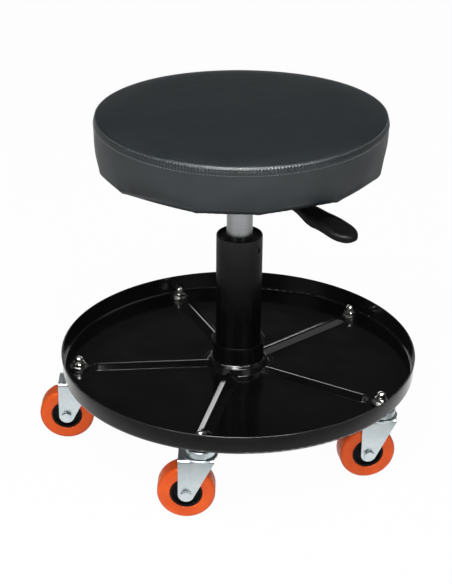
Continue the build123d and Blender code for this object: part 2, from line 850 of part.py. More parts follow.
# A closed side view between two curves, each at its own height over the stem's and the paddle's middle line
def handle_side(stem_low, paddle_low, stem_high, paddle_high):
    with BuildSketch(lever_plane) as side:
        with BuildLine():
            for stem_rise, paddle_rise in [(stem_low, paddle_low), (stem_high, paddle_high)]:
                Line(
                    (handle_start_reach, handle_start_height + stem_rise),
                    (handle_neck_reach, handle_neck_height + stem_rise),
                )
                ThreePointArc(
                    (handle_neck_reach, handle_neck_height + stem_rise),
                    (paddle_middle_reach, paddle_middle_height + paddle_rise),
                    (handle_tip_reach, handle_tip_height + paddle_rise),
                )
            Line(
                (handle_start_reach, handle_start_height + stem_low),
                (handle_start_reach, handle_start_height + stem_high),
            )
            Line(
                (handle_tip_reach, handle_tip_height + paddle_low),
                (handle_tip_reach, handle_tip_height + paddle_high),
            )
        make_face()
        fillet(side.vertices().group_by(Axis.X)[1], handle_neck_radius)
    return side.sketch


stem_half = handle_stem_width / 2
paddle_half = handle_paddle_width / 2
handle_plan = [
    (handle_start_reach, -stem_half),
    (handle_neck_reach, -stem_half),
    (handle_shoulder_reach, -paddle_half),
    (handle_tip_reach, -paddle_half),
    (handle_tip_reach, paddle_half),
    (handle_shoulder_reach, paddle_half),
    (handle_neck_reach, stem_half),
    (handle_start_reach, stem_half),
]
dish_half = paddle_half - handle_dish_rim
dish_plan = [
    (handle_dish_reach, -dish_half),
    (handle_tip_reach - handle_dish_rim, -dish_half),
    (handle_tip_reach - handle_dish_rim, dish_half),
    (handle_dish_reach, dish_half),
]
handle_plane = level_plane(handle_tip_height - handle_stem_thickness, lever_angle)
handle_room = lever_centre_height - handle_tip_height + 2 * handle_stem_thickness
stem_rise = handle_stem_thickness / 2
paddle_rise = handle_paddle_thickness / 2

with BuildPart() as handle_dish:
    dish_floor = paddle_rise - handle_dish_depth
    extrude(
        handle_side(stem_rise - handle_dish_depth, dish_floor, 2 * handle_stem_thickness, handle_stem_thickness),
        amount=paddle_half,
        both=True,
    )
    extrude(
        outline(handle_plane, dish_plan, [paddle_half / 2, handle_tip_round, handle_tip_round, paddle_half / 2]),
        amount=handle_room,
        mode=Mode.INTERSECT,
    )

with BuildPart() as lever_handle:
    extrude(handle_side(-stem_rise, -paddle_rise, stem_rise, paddle_rise), amount=paddle_half, both=True)
    plan_radii = [
        handle_edge_radius,
        handle_neck_radius,
        handle_neck_radius,
        handle_tip_round + handle_dish_rim,
        handle_tip_round + handle_dish_rim,
        handle_neck_radius,
        handle_neck_radius,
        handle_edge_radius,
    ]
    extrude(outline(handle_plane, handle_plan, plan_radii), amount=handle_room, mode=Mode.INTERSECT)
    upright_edges = lever_handle.edges().filter_by(Axis.Z)
    fillet(lever_handle.edges() - upright_edges, handle_edge_radius)
    add(handle_dish.part, mode=Mode.SUBTRACT)
    add(lever_wire(lever_wire_radius + running_clearance), mode=Mode.SUBTRACT)
lever_handle.part.label = "lever_handle"
export_step(lever_handle.part, "parts/lever_handle.step")

with BuildPart() as lever_pivot:
    with BuildSketch(lever_plane):
        with Locations((pivot_reach, lever_centre_height)):
            Circle(pivot_radius)
    extrude(amount=housing_width / 2 + pivot_end_rise, both=True)
lever_pivot.part.label = "lever_pivot"
export_step(lever_pivot.part, "parts/lever_pivot.step")

# Washers and cap nuts on the five caster stems, inside the tray
nut_bottom_height = pad_height + washer_thickness
with BuildPart() as washers:
    for index in range(caster_count):
        x, y = stem_place(index)
        with BuildSketch(level_plane(pad_height, x=x, y=y)):
            Circle(washer_radius)
            Circle(stem_radius + hole_clearance, mode=Mode.SUBTRACT)
        extrude(amount=washer_thickness)
washers.part.label = "washers"
export_step(washers.part, "parts/washers.step")

with BuildPart() as cap_nuts:
    for index in range(caster_count):
        x, y = stem_place(index)
        with BuildSketch(level_plane(nut_bottom_height, stem_angle(index), x, y)):
            RegularPolygon(cap_nut_across / 2, 6, major_radius=False)
        extrude(amount=cap_nut_hex_height)
        with BuildSketch(upright_plane(stem_angle(index), x, y)) as dome:
            dome_centre_height = nut_bottom_height + cap_nut_height - cap_nut_dome_radius
            with Locations((0, dome_centre_height)):
                Circle(cap_nut_dome_radius)
            with Locations((0, nut_bottom_height)):
                Rectangle(
                    2 * cap_nut_dome_radius,
                    dome_centre_height - nut_bottom_height,
                    align=(Align.CENTER, Align.MIN),
                )
            with Locations((0, nut_bottom_height)):
                Rectangle(
                    cap_nut_dome_radius,
                    cap_nut_height,
                    align=(Align.MAX, Align.MIN),
                    mode=Mode.SUBTRACT,
                )
        revolve(axis=Axis((x, y, 0), (0, 0, 1)))
        with BuildSketch(level_plane(nut_bottom_height, x=x, y=y)):
            Circle(stem_radius + running_clearance)
        extrude(amount=thread_engagement + thread_relief, mode=Mode.SUBTRACT)
cap_nuts.part.label = "cap_nuts"
export_step(cap_nuts.part, "parts/cap_nuts.step")

# Swivel balls: one ring between each raceway cup and its fork
with BuildPart() as swivel_balls:
    for index in range(caster_count):
        x, y = stem_place(index)
        with Locations((x, y, swivel_ball_height)):
            with PolarLocations(swivel_ball_circle_radius, swivel_ball_count):
                Sphere(swivel_ball_radius)
swivel_balls.part.label = "swivel_balls"
export_step(swivel_balls.part, "parts/swivel_balls.step")


# Caster stem: threaded end, flange, raceway cup and the kingpin with its head under the fork
def caster_stem(index):
    x, y = stem_place(index)
    cup_bore_radius = cup_radius - cup_wall
    head_top_height = crown_bottom_height - ball_clearance
    points = [
        (0, head_top_height - kingpin_head_height),
        (kingpin_head_radius, head_top_height - kingpin_head_height),
        (kingpin_head_radius, head_top_height),
        (kingpin_radius, head_top_height),
        (kingpin_radius, cup_ceiling_height),
        (cup_bore_radius, cup_ceiling_height),
        (cup_bore_radius, cup_bottom_height),
        (cup_radius, cup_bottom_height),
        (cup_radius, cup_top_height),
        (stem_flange_radius, cup_top_height),
        (stem_flange_radius, flange_top_height),
        (stem_radius, flange_top_height),
        (stem_radius, stem_top_height),
        (0, stem_top_height),
    ]
    corner_radii = [0] * len(points)
    corner_radii[points.index((cup_radius, cup_top_height))] = cup_edge_radius
    with BuildPart() as stem:
        revolve(outline(upright_plane(0, x, y), points, corner_radii), axis=Axis((x, y, 0), (0, 0, 1)))
    return stem.part


# Fork: a bent saddle, its legs cut to a round tip at the axle, under a dish with a lip
def caster_fork(index):
    x, y = stem_place(index)
    angle = trail_angle(index)
    swivel_axis = Axis((x, y, 0), (0, 0, 1))
    fork_plane = upright_plane(angle, x, y)
    fork_length = fork_front_reach + trail + fork_tip_radius
    with BuildPart() as fork:
        with BuildSketch(fork_plane.offset(-fork_outer_half)):
            with BuildLine():
                CenterArc((trail, wheel_radius), fork_tip_radius, 0, 360)
                Line((-fork_front_reach, crown_top_height), (trail + fork_tip_radius, crown_top_height))
                Line((-fork_front_reach, crown_top_height), (-fork_front_reach, crown_bottom_height))
            make_hull()
        extrude(amount=2 * fork_outer_half)
        top_edges = fork.edges().group_by(Axis.Z)[-1]
        fillet(top_edges.filter_by(Axis(fork_plane.origin, fork_plane.x_dir)), fork_bend_radius)
        tunnel = [
            (-fork_inner_half, 0),
            (fork_inner_half, 0),
            (fork_inner_half, crown_bottom_height),
            (-fork_inner_half, crown_bottom_height),
        ]
        inner_bend_radius = fork_bend_radius - fork_sheet
        tunnel_face = outline(
            upright_plane(angle + 90, x, y), tunnel, [0, 0, inner_bend_radius, inner_bend_radius]
        )
        extrude(tunnel_face, amount=fork_length, both=True, mode=Mode.SUBTRACT)
        dish = [
            (kingpin_radius, crown_bottom_height),
            (crown_radius, crown_bottom_height),
            (crown_radius, crown_lip_top_height),
            (crown_radius - crown_lip_width, crown_lip_top_height),
            (crown_radius - crown_lip_width, crown_top_height),
            (kingpin_radius, crown_top_height),
        ]
        dish_radii = [0, fork_sheet * 3 / 4, crown_lip_width / 4, crown_lip_width / 4, crown_lip_width / 4, 0]
        revolve(outline(upright_plane(angle, x, y), dish, dish_radii), axis=swivel_axis)
        with BuildSketch(level_plane(crown_bottom_height, x=x, y=y)):
            Circle(kingpin_radius + running_clearance)
        extrude(amount=fork_sheet, mode=Mode.SUBTRACT)
        with BuildSketch(fork_plane):
            with Locations((trail, wheel_radius)):
                Circle(axle_radius + hole_clearance)
        extrude(amount=fork_outer_half, both=True, mode=Mode.SUBTRACT)
    return fork.part


# Axle plane: its origin is the wheel's centre, its X runs along the axle and its Y points up
def axle_plane(index):
    x, y = stem_place(index)
    back = radians(trail_angle(index))
    side = radians(trail_angle(index) + 90)
    return Plane(
        origin=(x + trail * cos(back), y + trail * sin(back), wheel_radius),
        x_dir=(cos(side), sin(side), 0),
        z_dir=(cos(back), sin(back), 0),
    )


# A plane across the axle, at a distance from the wheel's centre
def axle_face(index, reach):
    plane = axle_plane(index)
    return Plane(origin=plane.origin, x_dir=(0, 0, 1), z_dir=plane.x_dir).offset(reach)


# Axle bolt with its head on the fork's near side, and its nut on the far side
def axle_bolt(index):
    nut_reach = fork_outer_half + axle_nut_height
    shank_length = fork_outer_half + nut_reach + axle_end_rise
    with BuildPart() as bolt:
        with BuildSketch(axle_face(index, fork_outer_half)):
            RegularPolygon(axle_head_across / 2, 6, major_radius=False)
        extrude(amount=axle_head_height)
        with BuildSketch(axle_face(index, fork_outer_half)):
            Circle(axle_radius)
        extrude(amount=-shank_length)
        with BuildSketch(axle_face(index, -nut_reach)):
            RegularPolygon(axle_head_across / 2, 6, major_radius=False)
            Circle(axle_radius + running_clearance, mode=Mode.SUBTRACT)
        extrude(amount=axle_nut_height)
    return bolt.part


# A solid turned about the axle, from points along the axle and out from it
def turned_on_axle(index, points, radii=0):
    plane = axle_plane(index)
    with BuildPart() as turned:
        revolve(outline(plane, points, radii), axis=Axis(plane.origin, plane.x_dir))
    return turned.part


def axle_sleeve(index):
    return turned_on_axle(
        index, band(-fork_inner_half, fork_inner_half, axle_radius + running_clearance, sleeve_radius)
    )


# Hub: a boss on the sleeve, a thin web and a rim under the tread
def wheel_hub(index):
    boss_half = hub_width / 2
    rim_half = wheel_width / 2 - hub_rim_setback
    web_half = boss_half - hub_dish_depth
    rim_inner_radius = hub_radius - hub_rim_thickness
    bore = sleeve_radius + running_clearance
    side = [
        (boss_half, bore),
        (boss_half, hub_boss_radius),
        (web_half, hub_boss_radius),
        (web_half, rim_inner_radius),
        (rim_half, rim_inner_radius),
        (rim_half, hub_radius),
    ]
    other_side = [(-reach, radius) for reach, radius in reversed(side)]
    side_radii = [0] + [hub_corner_radius] * (len(side) - 2) + [0]
    return turned_on_axle(index, side + other_side, side_radii * 2)


def wheel_tread(index):
    half = wheel_width / 2
    points = [
        (-half, hub_radius + tread_inner_chamfer),
        (tread_inner_chamfer - half, hub_radius),
        (half - tread_inner_chamfer, hub_radius),
        (half, hub_radius + tread_inner_chamfer),
        (half, wheel_radius),
        (-half, wheel_radius),
    ]
    return turned_on_axle(index, points, [0, 0, 0, 0, tread_edge_radius, tread_edge_radius])


# The five casters, numbered round the tray from the front one
caster_pieces = [
    ("caster_stem", caster_stem),
    ("fork", caster_fork),
    ("axle_bolt", axle_bolt),
    ("axle_sleeve", axle_sleeve),
    ("wheel_hub", wheel_hub),
    ("wheel_tread", wheel_tread),
]
for index in range(caster_count):
    for name, make_piece in caster_pieces:
        piece = make_piece(index)
        piece.label = f"{name}_{index + 1}"
        export_step(piece, f"parts/{piece.label}.step")
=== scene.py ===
from math import atan2, cos, pi, radians, sin

import bpy
import numpy as np
from mathutils import Matrix, Vector


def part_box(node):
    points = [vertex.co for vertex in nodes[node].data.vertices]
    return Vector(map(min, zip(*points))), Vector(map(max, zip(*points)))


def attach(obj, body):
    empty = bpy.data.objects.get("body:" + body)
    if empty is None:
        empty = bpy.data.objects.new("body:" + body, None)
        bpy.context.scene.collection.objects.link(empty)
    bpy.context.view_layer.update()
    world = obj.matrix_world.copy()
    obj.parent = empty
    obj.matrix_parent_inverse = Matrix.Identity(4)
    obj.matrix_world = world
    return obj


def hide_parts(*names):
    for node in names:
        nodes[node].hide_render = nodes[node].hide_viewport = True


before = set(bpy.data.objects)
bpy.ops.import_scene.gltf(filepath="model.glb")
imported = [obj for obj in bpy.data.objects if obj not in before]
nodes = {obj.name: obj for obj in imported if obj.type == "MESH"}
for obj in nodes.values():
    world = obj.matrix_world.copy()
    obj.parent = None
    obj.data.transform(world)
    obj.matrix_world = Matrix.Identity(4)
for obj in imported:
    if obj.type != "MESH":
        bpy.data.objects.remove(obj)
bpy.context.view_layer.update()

# Rolling mechanic stool. The frame's solids get their finishes here. The padded seat, its stitches,
# the lever handle, the cap nuts, the weld, the tray's rim and the skins over its ribs and boss are
# made as surfaces. Blender works in metres, as do the camera, the floor and the lamps below. The
# pieces' own sizes are in millimetres and are multiplied by mm.
mm = 0.001
chance = np.random.default_rng(7)  # seeded, so that every run draws the same
print("frame loaded:", len(nodes), "nodes")


# Camera: where the photo was taken from, fitted to the tray's rim, the nuts and the wheels
cameraSpot = dict(place=(-0.00194, -1.49693, 0.89498), pitch=25.8405, yaw=-0.4619, roll=0.5127,
                  focalPixels=1523.97, longSidePixels=584, sensor=36.0)


def placeCamera(spot):
    pitch, yaw, roll = (radians(spot[name]) for name in ("pitch", "yaw", "roll"))
    ahead = Vector((sin(yaw) * cos(pitch), cos(yaw) * cos(pitch), -sin(pitch)))
    level = Vector((cos(yaw), -sin(yaw), 0))
    upright = level.cross(ahead)
    right = level * cos(roll) + upright * sin(roll)
    up = upright * cos(roll) - level * sin(roll)
    data = bpy.data.cameras.new("camera")
    data.lens = spot["focalPixels"] * spot["sensor"] / spot["longSidePixels"]
    data.sensor_width = spot["sensor"]
    camera = bpy.data.objects.new("camera", data)
    turn = Matrix((right, up, -ahead)).transposed().to_4x4()
    camera.matrix_world = Matrix.Translation(spot["place"]) @ turn
    bpy.context.scene.collection.objects.link(camera)
    bpy.context.scene.camera = camera


placeCamera(cameraSpot)
print("camera placed")


# Materials. Colours are sRGB hex codes, and sizes and depths are in millimetres.
def hexColour(code):
    channels = [int(code[i:i + 2], 16) / 255 for i in (0, 2, 4)]
    return tuple(c / 12.92 if c <= 0.04045 else ((c + 0.055) / 1.055) ** 2.4 for c in channels) + (1.0,)


# Adds one node: a socket among the inputs is linked, any other value is set. Gives its outputs.
def addNode(tree, kind, inputs=(), **settings):
    made = tree.nodes.new("ShaderNode" + kind)
    for name, value in settings.items():
        setattr(made, name, value)
    for name, value in dict(inputs).items():
        if isinstance(value, bpy.types.NodeSocket):
            tree.links.new(value, made.inputs[name])
        else:
            made.inputs[name].default_value = value
    return made.outputs


# Starts a material: values that stay the same go on the shader's own sockets
def startMaterial(name, finish):
    material = bpy.data.materials.new(name)
    material.use_nodes = True
    tree = material.node_tree
    shader = tree.nodes["Principled BSDF"]
    for socket, value in finish.items():
        shader.inputs[socket].default_value = value
    inMetres = addNode(tree, "TexCoord")["Object"]
    place = addNode(tree, "Mapping", {"Vector": inMetres, "Scale": (1000, 1000, 1000)})["Vector"]
    return material, tree, shader, place


# Clouds: a soft noise drifts the colour between two codes and the roughness between two values
def addClouds(tree, shader, place, sizeMm, colours, roughness):
    noise = addNode(tree, "TexNoise", {"Vector": place, "Scale": 1 / sizeMm, "Detail": 3.0})["Fac"]
    share = addNode(tree, "MapRange", {"Value": noise, "From Min": 0.3, "From Max": 0.7})["Result"]
    ends = {6: hexColour(colours[0]), 7: hexColour(colours[1])}
    colour = addNode(tree, "Mix", {0: share, **ends}, data_type="RGBA")[2]
    low, high = roughness
    gloss = addNode(tree, "MapRange", {"Value": share, "To Min": low, "To Max": high})["Result"]
    tree.links.new(colour, shader.inputs["Base Color"])
    tree.links.new(gloss, shader.inputs["Roughness"])


# Grain: a finer noise, drawn out by stretch, raises the surface on top of the relief that it has
def addGrain(tree, shader, place, sizeMm, depthMm, stretch=(1.0, 1.0, 1.0)):
    drawn = addNode(tree, "Mapping", {"Vector": place, "Scale": stretch})["Vector"]
    noise = addNode(tree, "TexNoise", {"Vector": drawn, "Scale": 1 / sizeMm, "Detail": 3.0})["Fac"]
    before = {"Normal": link.from_socket for link in shader.inputs["Normal"].links}
    raised = addNode(tree, "Bump", {"Height": noise, "Distance": depthMm * mm, **before})["Normal"]
    tree.links.new(raised, shader.inputs["Normal"])


# Stove enamel on pressed steel: deep black, a faint orange peel, clear reflections. The paint rounds
# the bent edges, so the shading turns over a small radius there.
def stoveEnamel(name, colours, roughness, peelMm, peelDepth, edgeMm):
    material, tree, shader, place = startMaterial(name, {"IOR": 1.5})
    addClouds(tree, shader, place, 34, colours, roughness)
    rounded = addNode(tree, "Bevel", {"Radius": edgeMm * mm}, samples=4)["Normal"]
    tree.links.new(rounded, shader.inputs["Normal"])
    addGrain(tree, shader, place, peelMm, peelDepth)
    return material


# Zinc plate on pressed steel: pale, slightly blue, cloudy, with faint rolling lines
def zincPlate(name):
    material, tree, shader, place = startMaterial(name, {"Metallic": 1.0})
    addClouds(tree, shader, place, 9, ("c7d3d7", "dfe6e8"), (0.28, 0.38))
    addGrain(tree, shader, place, 0.7, 0.002, (1.0, 1.0, 0.12))
    return material


# Nickel plate on a turned nut: a bright mirror, a little cloudy from barrel plating
def nickelPlate(name):
    material, tree, shader, place = startMaterial(name, {"Metallic": 1.0})
    addClouds(tree, shader, place, 2.5, ("dededc", "e8e8e5"), (0.05, 0.12))
    return material


# Ground steel tube: bright, with fine lines round it from the grinding, drawn coarse enough to show
def groundSteel(name):
    ground = {"Metallic": 1.0, "Anisotropic": 0.8, "Anisotropic Rotation": 0.25}
    material, tree, shader, place = startMaterial(name, ground)
    aroundZ = addNode(tree, "Tangent", direction_type="RADIAL", axis="Z")["Tangent"]
    tree.links.new(aroundZ, shader.inputs["Tangent"])
    rings = addNode(tree, "Mapping", {"Vector": place, "Scale": (0.02, 0.02, 1.0)})["Vector"]
    addClouds(tree, shader, rings, 0.9, ("cfd2d3", "e2e4e5"), (0.3, 0.38))
    addGrain(tree, shader, rings, 0.9, 0.003)
    return material


# Moulded plastic: a fine spark-eroded texture that dulls the gloss
def mouldedPlastic(name, colours, roughness, grainMm, grainDepth, specular=0.5):
    material, tree, shader, place = startMaterial(name, {"IOR": 1.5, "Specular IOR Level": specular})
    addClouds(tree, shader, place, 18, colours, roughness)
    addGrain(tree, shader, place, grainMm, grainDepth)
    return material


# Cast polyurethane: waxy orange with a soft satin gloss. It lets light in for up to 4 mm, which the
# subsurface scale gives in metres.
def castPolyurethane(name):
    waxy = {"Subsurface Weight": 0.12, "Subsurface Scale": 0.004, "Subsurface Radius": (1.0, 0.35, 0.12)}
    material, tree, shader, place = startMaterial(name, {"IOR": 1.5, "Specular IOR Level": 0.3, **waxy})
    addClouds(tree, shader, place, 12, ("b6410e", "c14c15"), (0.36, 0.5))
    addGrain(tree, shader, place, 0.9, 0.01)
    return material


# Birch plywood stained black: the grain along X still shows through the stain
def stainedPly(name):
    material, tree, shader, place = startMaterial(name, {"IOR": 1.5})
    along = addNode(tree, "Mapping", {"Vector": place, "Scale": (0.06, 1.0, 1.0)})["Vector"]
    addClouds(tree, shader, along, 2.2, ("1f1b19", "35302c"), (0.55, 0.7))
    addGrain(tree, shader, along, 2.2, 0.05)
    return material


# Sewing thread: twisted polyester, grey, a little hairy, so its shine is soft
def sewingThread(name, colours):
    material, tree, shader, place = startMaterial(name, {"Sheen Weight": 0.3})
    addClouds(tree, shader, place, 14, colours, (0.45, 0.6))
    addGrain(tree, shader, place, 0.3, 0.03)
    return material


# PVC vinyl on a knit backing: charcoal, a pebbled grain, broad soft waves, puckers at the stitches
def seatVinyl(name, look):
    finish = {"IOR": 1.5, "Specular IOR Level": look["specular"]}
    material, tree, shader, place = startMaterial(name, finish)
    addClouds(tree, shader, place, look["cloudMm"], look["colours"], look["roughness"])
    pebbles = addNode(tree, "TexVoronoi", {"Vector": place, "Scale": 1 / look["grainMm"]},
                      feature="SMOOTH_F1")["Distance"]
    raised = addNode(tree, "Bump", {"Height": pebbles, "Distance": look["grainDepth"] * mm})["Normal"]
    tree.links.new(raised, shader.inputs["Normal"])
    addGrain(tree, shader, place, look["knitMm"], look["knitDepth"])
    addGrain(tree, shader, place, look["waveMm"], look["waveDepth"])
    # the sewing map holds the distances along the seam and from it, in millimetres
    sewn = addNode(tree, "SeparateXYZ", {"Vector": addNode(tree, "UVMap", uv_map="sewing")["UV"]})
    beat = addNode(tree, "Math", {0: sewn["X"], 1: 2 * pi / stitchPitch}, operation="MULTIPLY")[0]
    pucker = addNode(tree, "Math", {0: beat}, operation="COSINE")[0]
    away = addNode(tree, "Math", {0: sewn["Y"]}, operation="ABSOLUTE")[0]
    near = addNode(tree, "MapRange", {"Value": away, "From Max": look["puckerReachMm"],
                                      "To Min": 1.0, "To Max": 0.0})["Result"]
    ripple = addNode(tree, "Math", {0: pucker, 1: near}, operation="MULTIPLY")[0]
    before = shader.inputs["Normal"].links[0].from_socket
    drawn = addNode(tree, "Bump", {"Height": ripple, "Distance": look["puckerDepth"] * mm,
                                   "Normal": before})["Normal"]
    tree.links.new(drawn, shader.inputs["Normal"])
    return material


stitchPitch = 3.4  # from one stitch to the next
vinylLook = dict(colours=("1e2224", "25292b"), roughness=(0.35, 0.41), specular=0.5, cloudMm=26,
                 grainMm=1.4, grainDepth=0.1, knitMm=0.6, knitDepth=0.03, waveMm=13.0, waveDepth=0.35,
                 puckerReachMm=5.5, puckerDepth=0.15)

trayBlack = stoveEnamel("trayEnamel", ("0a0a0a", "0d0d0d"), (0.1, 0.15), 2.4, 0.003, 0.6)
columnBlack = stoveEnamel("columnEnamel", ("040404", "060606"), (0.16, 0.24), 1.6, 0.004, 0.6)
plateBlack = stoveEnamel("plateEnamel", ("141415", "1a1a1b"), (0.32, 0.45), 1.2, 0.008, 0.4)
zinc = zincPlate("zincPlate")
nickel = nickelPlate("nickelPlate")
steel = groundSteel("groundSteel")
leverPlastic = mouldedPlastic("polypropyleneBlack", ("0a0a0a", "0e0e0e"), (0.4, 0.48), 0.7, 0.012, 0.15)
bushPlastic = mouldedPlastic("acetalBlack", ("0e0e0e", "141414"), (0.26, 0.34), 0.9, 0.006)
hubPlastic = mouldedPlastic("nylonBlack", ("070808", "0b0c0c"), (0.42, 0.5), 0.8, 0.012, 0.1)
stopRubber = mouldedPlastic("rubberBlack", ("161616", "1c1c1c"), (0.65, 0.75), 0.5, 0.02)
orangeTread = castPolyurethane("polyurethaneOrange")
plywood = stainedPly("stainedPly")
thread = sewingThread("polyesterThread", ("454b4d", "555b5e"))
vinyl = seatVinyl("charcoalVinyl", vinylLook)

casters = range(1, 6)
finishes = {
    trayBlack: ["tray"],
    columnBlack: ["column_collar", "column_tube"],
    plateBlack: ["housing", "taper_socket", "seat_plate", "lever_arm"],
    zinc: ["rod_clip", "plate_screws", "tee_nuts", "staples", "lever_pivot"]
    + [f"{piece}_{k}" for piece in ("caster_stem", "fork", "axle_bolt") for k in casters],
    nickel: ["cap_nuts", "washers"],
    steel: ["gas_cylinder", "piston_rod", "valve_body", "valve_pin", "lower_race", "upper_race",
            "thrust_balls", "swivel_balls"] + [f"axle_sleeve_{k}" for k in casters],
    bushPlastic: ["guide_bush", "piston", "rod_guide"],
    hubPlastic: [f"wheel_hub_{k}" for k in casters],
    orangeTread: [f"wheel_tread_{k}" for k in casters],
    stopRubber: ["bump_stop"],
    leverPlastic: ["lever_handle"],
    plywood: ["seat_board"],
}
for material, names in finishes.items():
    for name in names:
        for slot in nodes[name].material_slots:
            slot.material = material
print("materials made")


# A grid of points becomes quads. Rows run along the profile, columns round it. A pole closes an end
# row with a fan, and a looped grid joins its last row to its first. The faces are turned outwards by
# the sign of the volume that they enclose.
def surface(name, grid, material, body, lowPole=None, highPole=None, looped=False, uv=None):
    rows, columns = grid.shape[:2]
    index = np.arange(rows * columns).reshape(rows, columns)
    here = np.vstack([index, index[:1]]) if looped else index
    beside = np.roll(here, -1, 1)
    quads = np.stack([here[:-1], beside[:-1], beside[1:], here[1:]], -1).reshape(-1, 4)
    points = grid.reshape(-1, 3)
    fans = []
    for pole, row in ((lowPole, 0), (highPole, rows - 1)):
        if pole is not None:
            tip = np.full(columns, len(points))
            points = np.vstack([points, pole])
            fan = np.stack([beside[row], here[row], tip], -1)
            fans.append(fan if row == 0 else fan[:, ::-1])
    triangles = np.vstack([quads[:, [0, 1, 2]], quads[:, [0, 2, 3]], *fans])
    corners = points[triangles]
    volume = np.einsum("ij,ij->i", corners[:, 0], np.cross(corners[:, 1], corners[:, 2])).sum()
    faces = [quads] + fans
    if volume < 0:
        faces = [part[:, ::-1] for part in faces]
    mesh = bpy.data.meshes.new(name)
    mesh.from_pydata(points.tolist(), [], [face for part in faces for face in part.tolist()])
    mesh.polygons.foreach_set("use_smooth", np.full(len(mesh.polygons), True))
    if uv is not None:
        layer = mesh.uv_layers.new(name="sewing")
        vertexOf = np.empty(len(mesh.loops), dtype=np.int32)
        mesh.loops.foreach_get("vertex_index", vertexOf)
        flat = np.vstack([uv.reshape(-1, 2), uv.reshape(-1, 2)[[0, -1]]])  # the poles come last
        layer.uv.foreach_set("vector", flat[vertexOf].astype(np.float32).ravel())
    mesh.materials.append(material)
    made = bpy.data.objects.new(name, mesh)
    bpy.context.scene.collection.objects.link(made)
    if body:
        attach(made, body)
    return made


# A turned surface: each profile point (radius, height) is carried round the vertical axis
def turned(profile, columns):
    angle = np.linspace(0, 2 * pi, columns, endpoint=False)
    radius, height = profile[:, 0, None], profile[:, 1, None]
    return np.stack([radius * np.cos(angle), radius * np.sin(angle), height + 0 * angle], -1)


# A run of points rounded by a moving average: sampled every step, then averaged over the window
def roundedRun(points, step, window):
    points = np.asarray(points, float)
    along = np.concatenate([[0], np.cumsum(np.hypot(*np.diff(points, axis=0).T))])
    dense = np.linspace(0, along[-1], int(along[-1] / step) + 1)
    line = np.stack([np.interp(dense, along, points[:, k]) for k in (0, 1)], -1)
    half = int(window / step / 2)
    kernel = np.hanning(2 * half + 3)[1:-1]
    padded = np.vstack([2 * line[0] - line[half:0:-1], line, 2 * line[-1] - line[-2:-half - 2:-1]])
    return np.stack([np.convolve(padded[:, k], kernel / kernel.sum(), "valid") for k in (0, 1)], -1)


# Catmull-Rom value of evenly spaced rows at fractional places along axis 0
def cubicAt(values, place, wrap):
    count = len(values)
    base = np.floor(place).astype(int)
    t = (place - base).reshape((-1,) + (1,) * (values.ndim - 1))
    pick = [(base + k) % count if wrap else np.clip(base + k, 0, count - 1) for k in (-1, 0, 1, 2)]
    a, b, c, d = (values[p] for p in pick)
    return b + 0.5 * t * (c - a + t * (2 * a - 5 * b + 4 * c - d + t * (3 * (b - c) + d - a)))


# A smooth uneven wave round the axis: a sum of cosines with seeded phases, mostly between -1 and 1
def unevenWave(angle, orders):
    phases = chance.uniform(0, 2 * pi, len(orders))
    waves = [np.cos(order * angle + phase) for order, phase in zip(orders, phases)]
    return sum(waves) / len(orders) ** 0.5


# Seat cushion. Insets run in from the seam's radius and rises up from the hem, and the roll's points are
# measured from the seam. Depths, heights and waves push the skin along its normal and fade over the
# widths and reaches. Welts and stitch rows are placed by their distance from the seam, positive inwards.
seatLook = dict(
    columns=540, boardGap=0.06, liningShares=(0.35, 0.7), liningInset=6.0,
    hemWidth=16.0, footInset=8.4, tuckOut=6.2, tuckRise=5.4, waistInset=1.3, waistRise=14.0,
    bulge=0.5, bulgeRise=32.0, seamRise=48.6, roll=((1.0, 3.0), (4.4, 5.4)),
    edgeInset=12.0, edgeRise=55.6, crownPoints=40, roundStep=0.1, roundWindow=8.6,
    footFine=(5.0, 6.0), seamFine=(9.0, 8.0), endGap=3.0, rowCounts=(7, 12, 18, 34, 42),
    grooveDepth=0.3, grooveWidth=0.7, weltHeight=0.1, weltPlace=3.1, weltWidth=2.2,
    stitchRows=(2.6, -4.4), stitchSink=0.2, stitchSinkWidth=0.7,
    pullAngles=(-163, -144, -107, -82.5, -48.5, -19, 14, 46, 80, 113, 146, 175),
    chordShare=0.75, chordReach=15.0, ridgeHeight=0.45, ridgeWidth=3.0, ridgeReach=9.0,
    bandWave=0.5, bandWaveRise=18.0, bandWaveReach=13.0, pleats=54, pleatDepth=0.3,
    topWave=0.25, topWaveIn=40.0, topWaveOut=60.0,
    footSag=2.4, footTilt=2.0, footTwist=1.2, sagReach=26.0,
    seamLift=1.5, lean=1.0, leanAngle=20.0, leanReach=28.0,
    pullBack=0.9,  # the crown swells by about this much in the simulation, so it starts lower
    simColumns=150, simStep=5.0, simEndGap=8.0, simPressure=4.0, simFrames=20, simCap=1.3,
    simQuality=6, simMass=0.5, simStiffness=30, simBending=4, seamHold=0.35,
    foldOrder=6.0, calmRadius=60.0, footFade=8.0,
)

seatLow, seatHigh = (np.array(corner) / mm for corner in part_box("seat_cover"))
boardLow, boardHigh = (np.array(corner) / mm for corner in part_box("seat_board"))
seamRadius = seatHigh[0]
hemHeight = seatLow[2]
footRadius = seamRadius - seatLook["footInset"]
boardRadius = boardHigh[0]


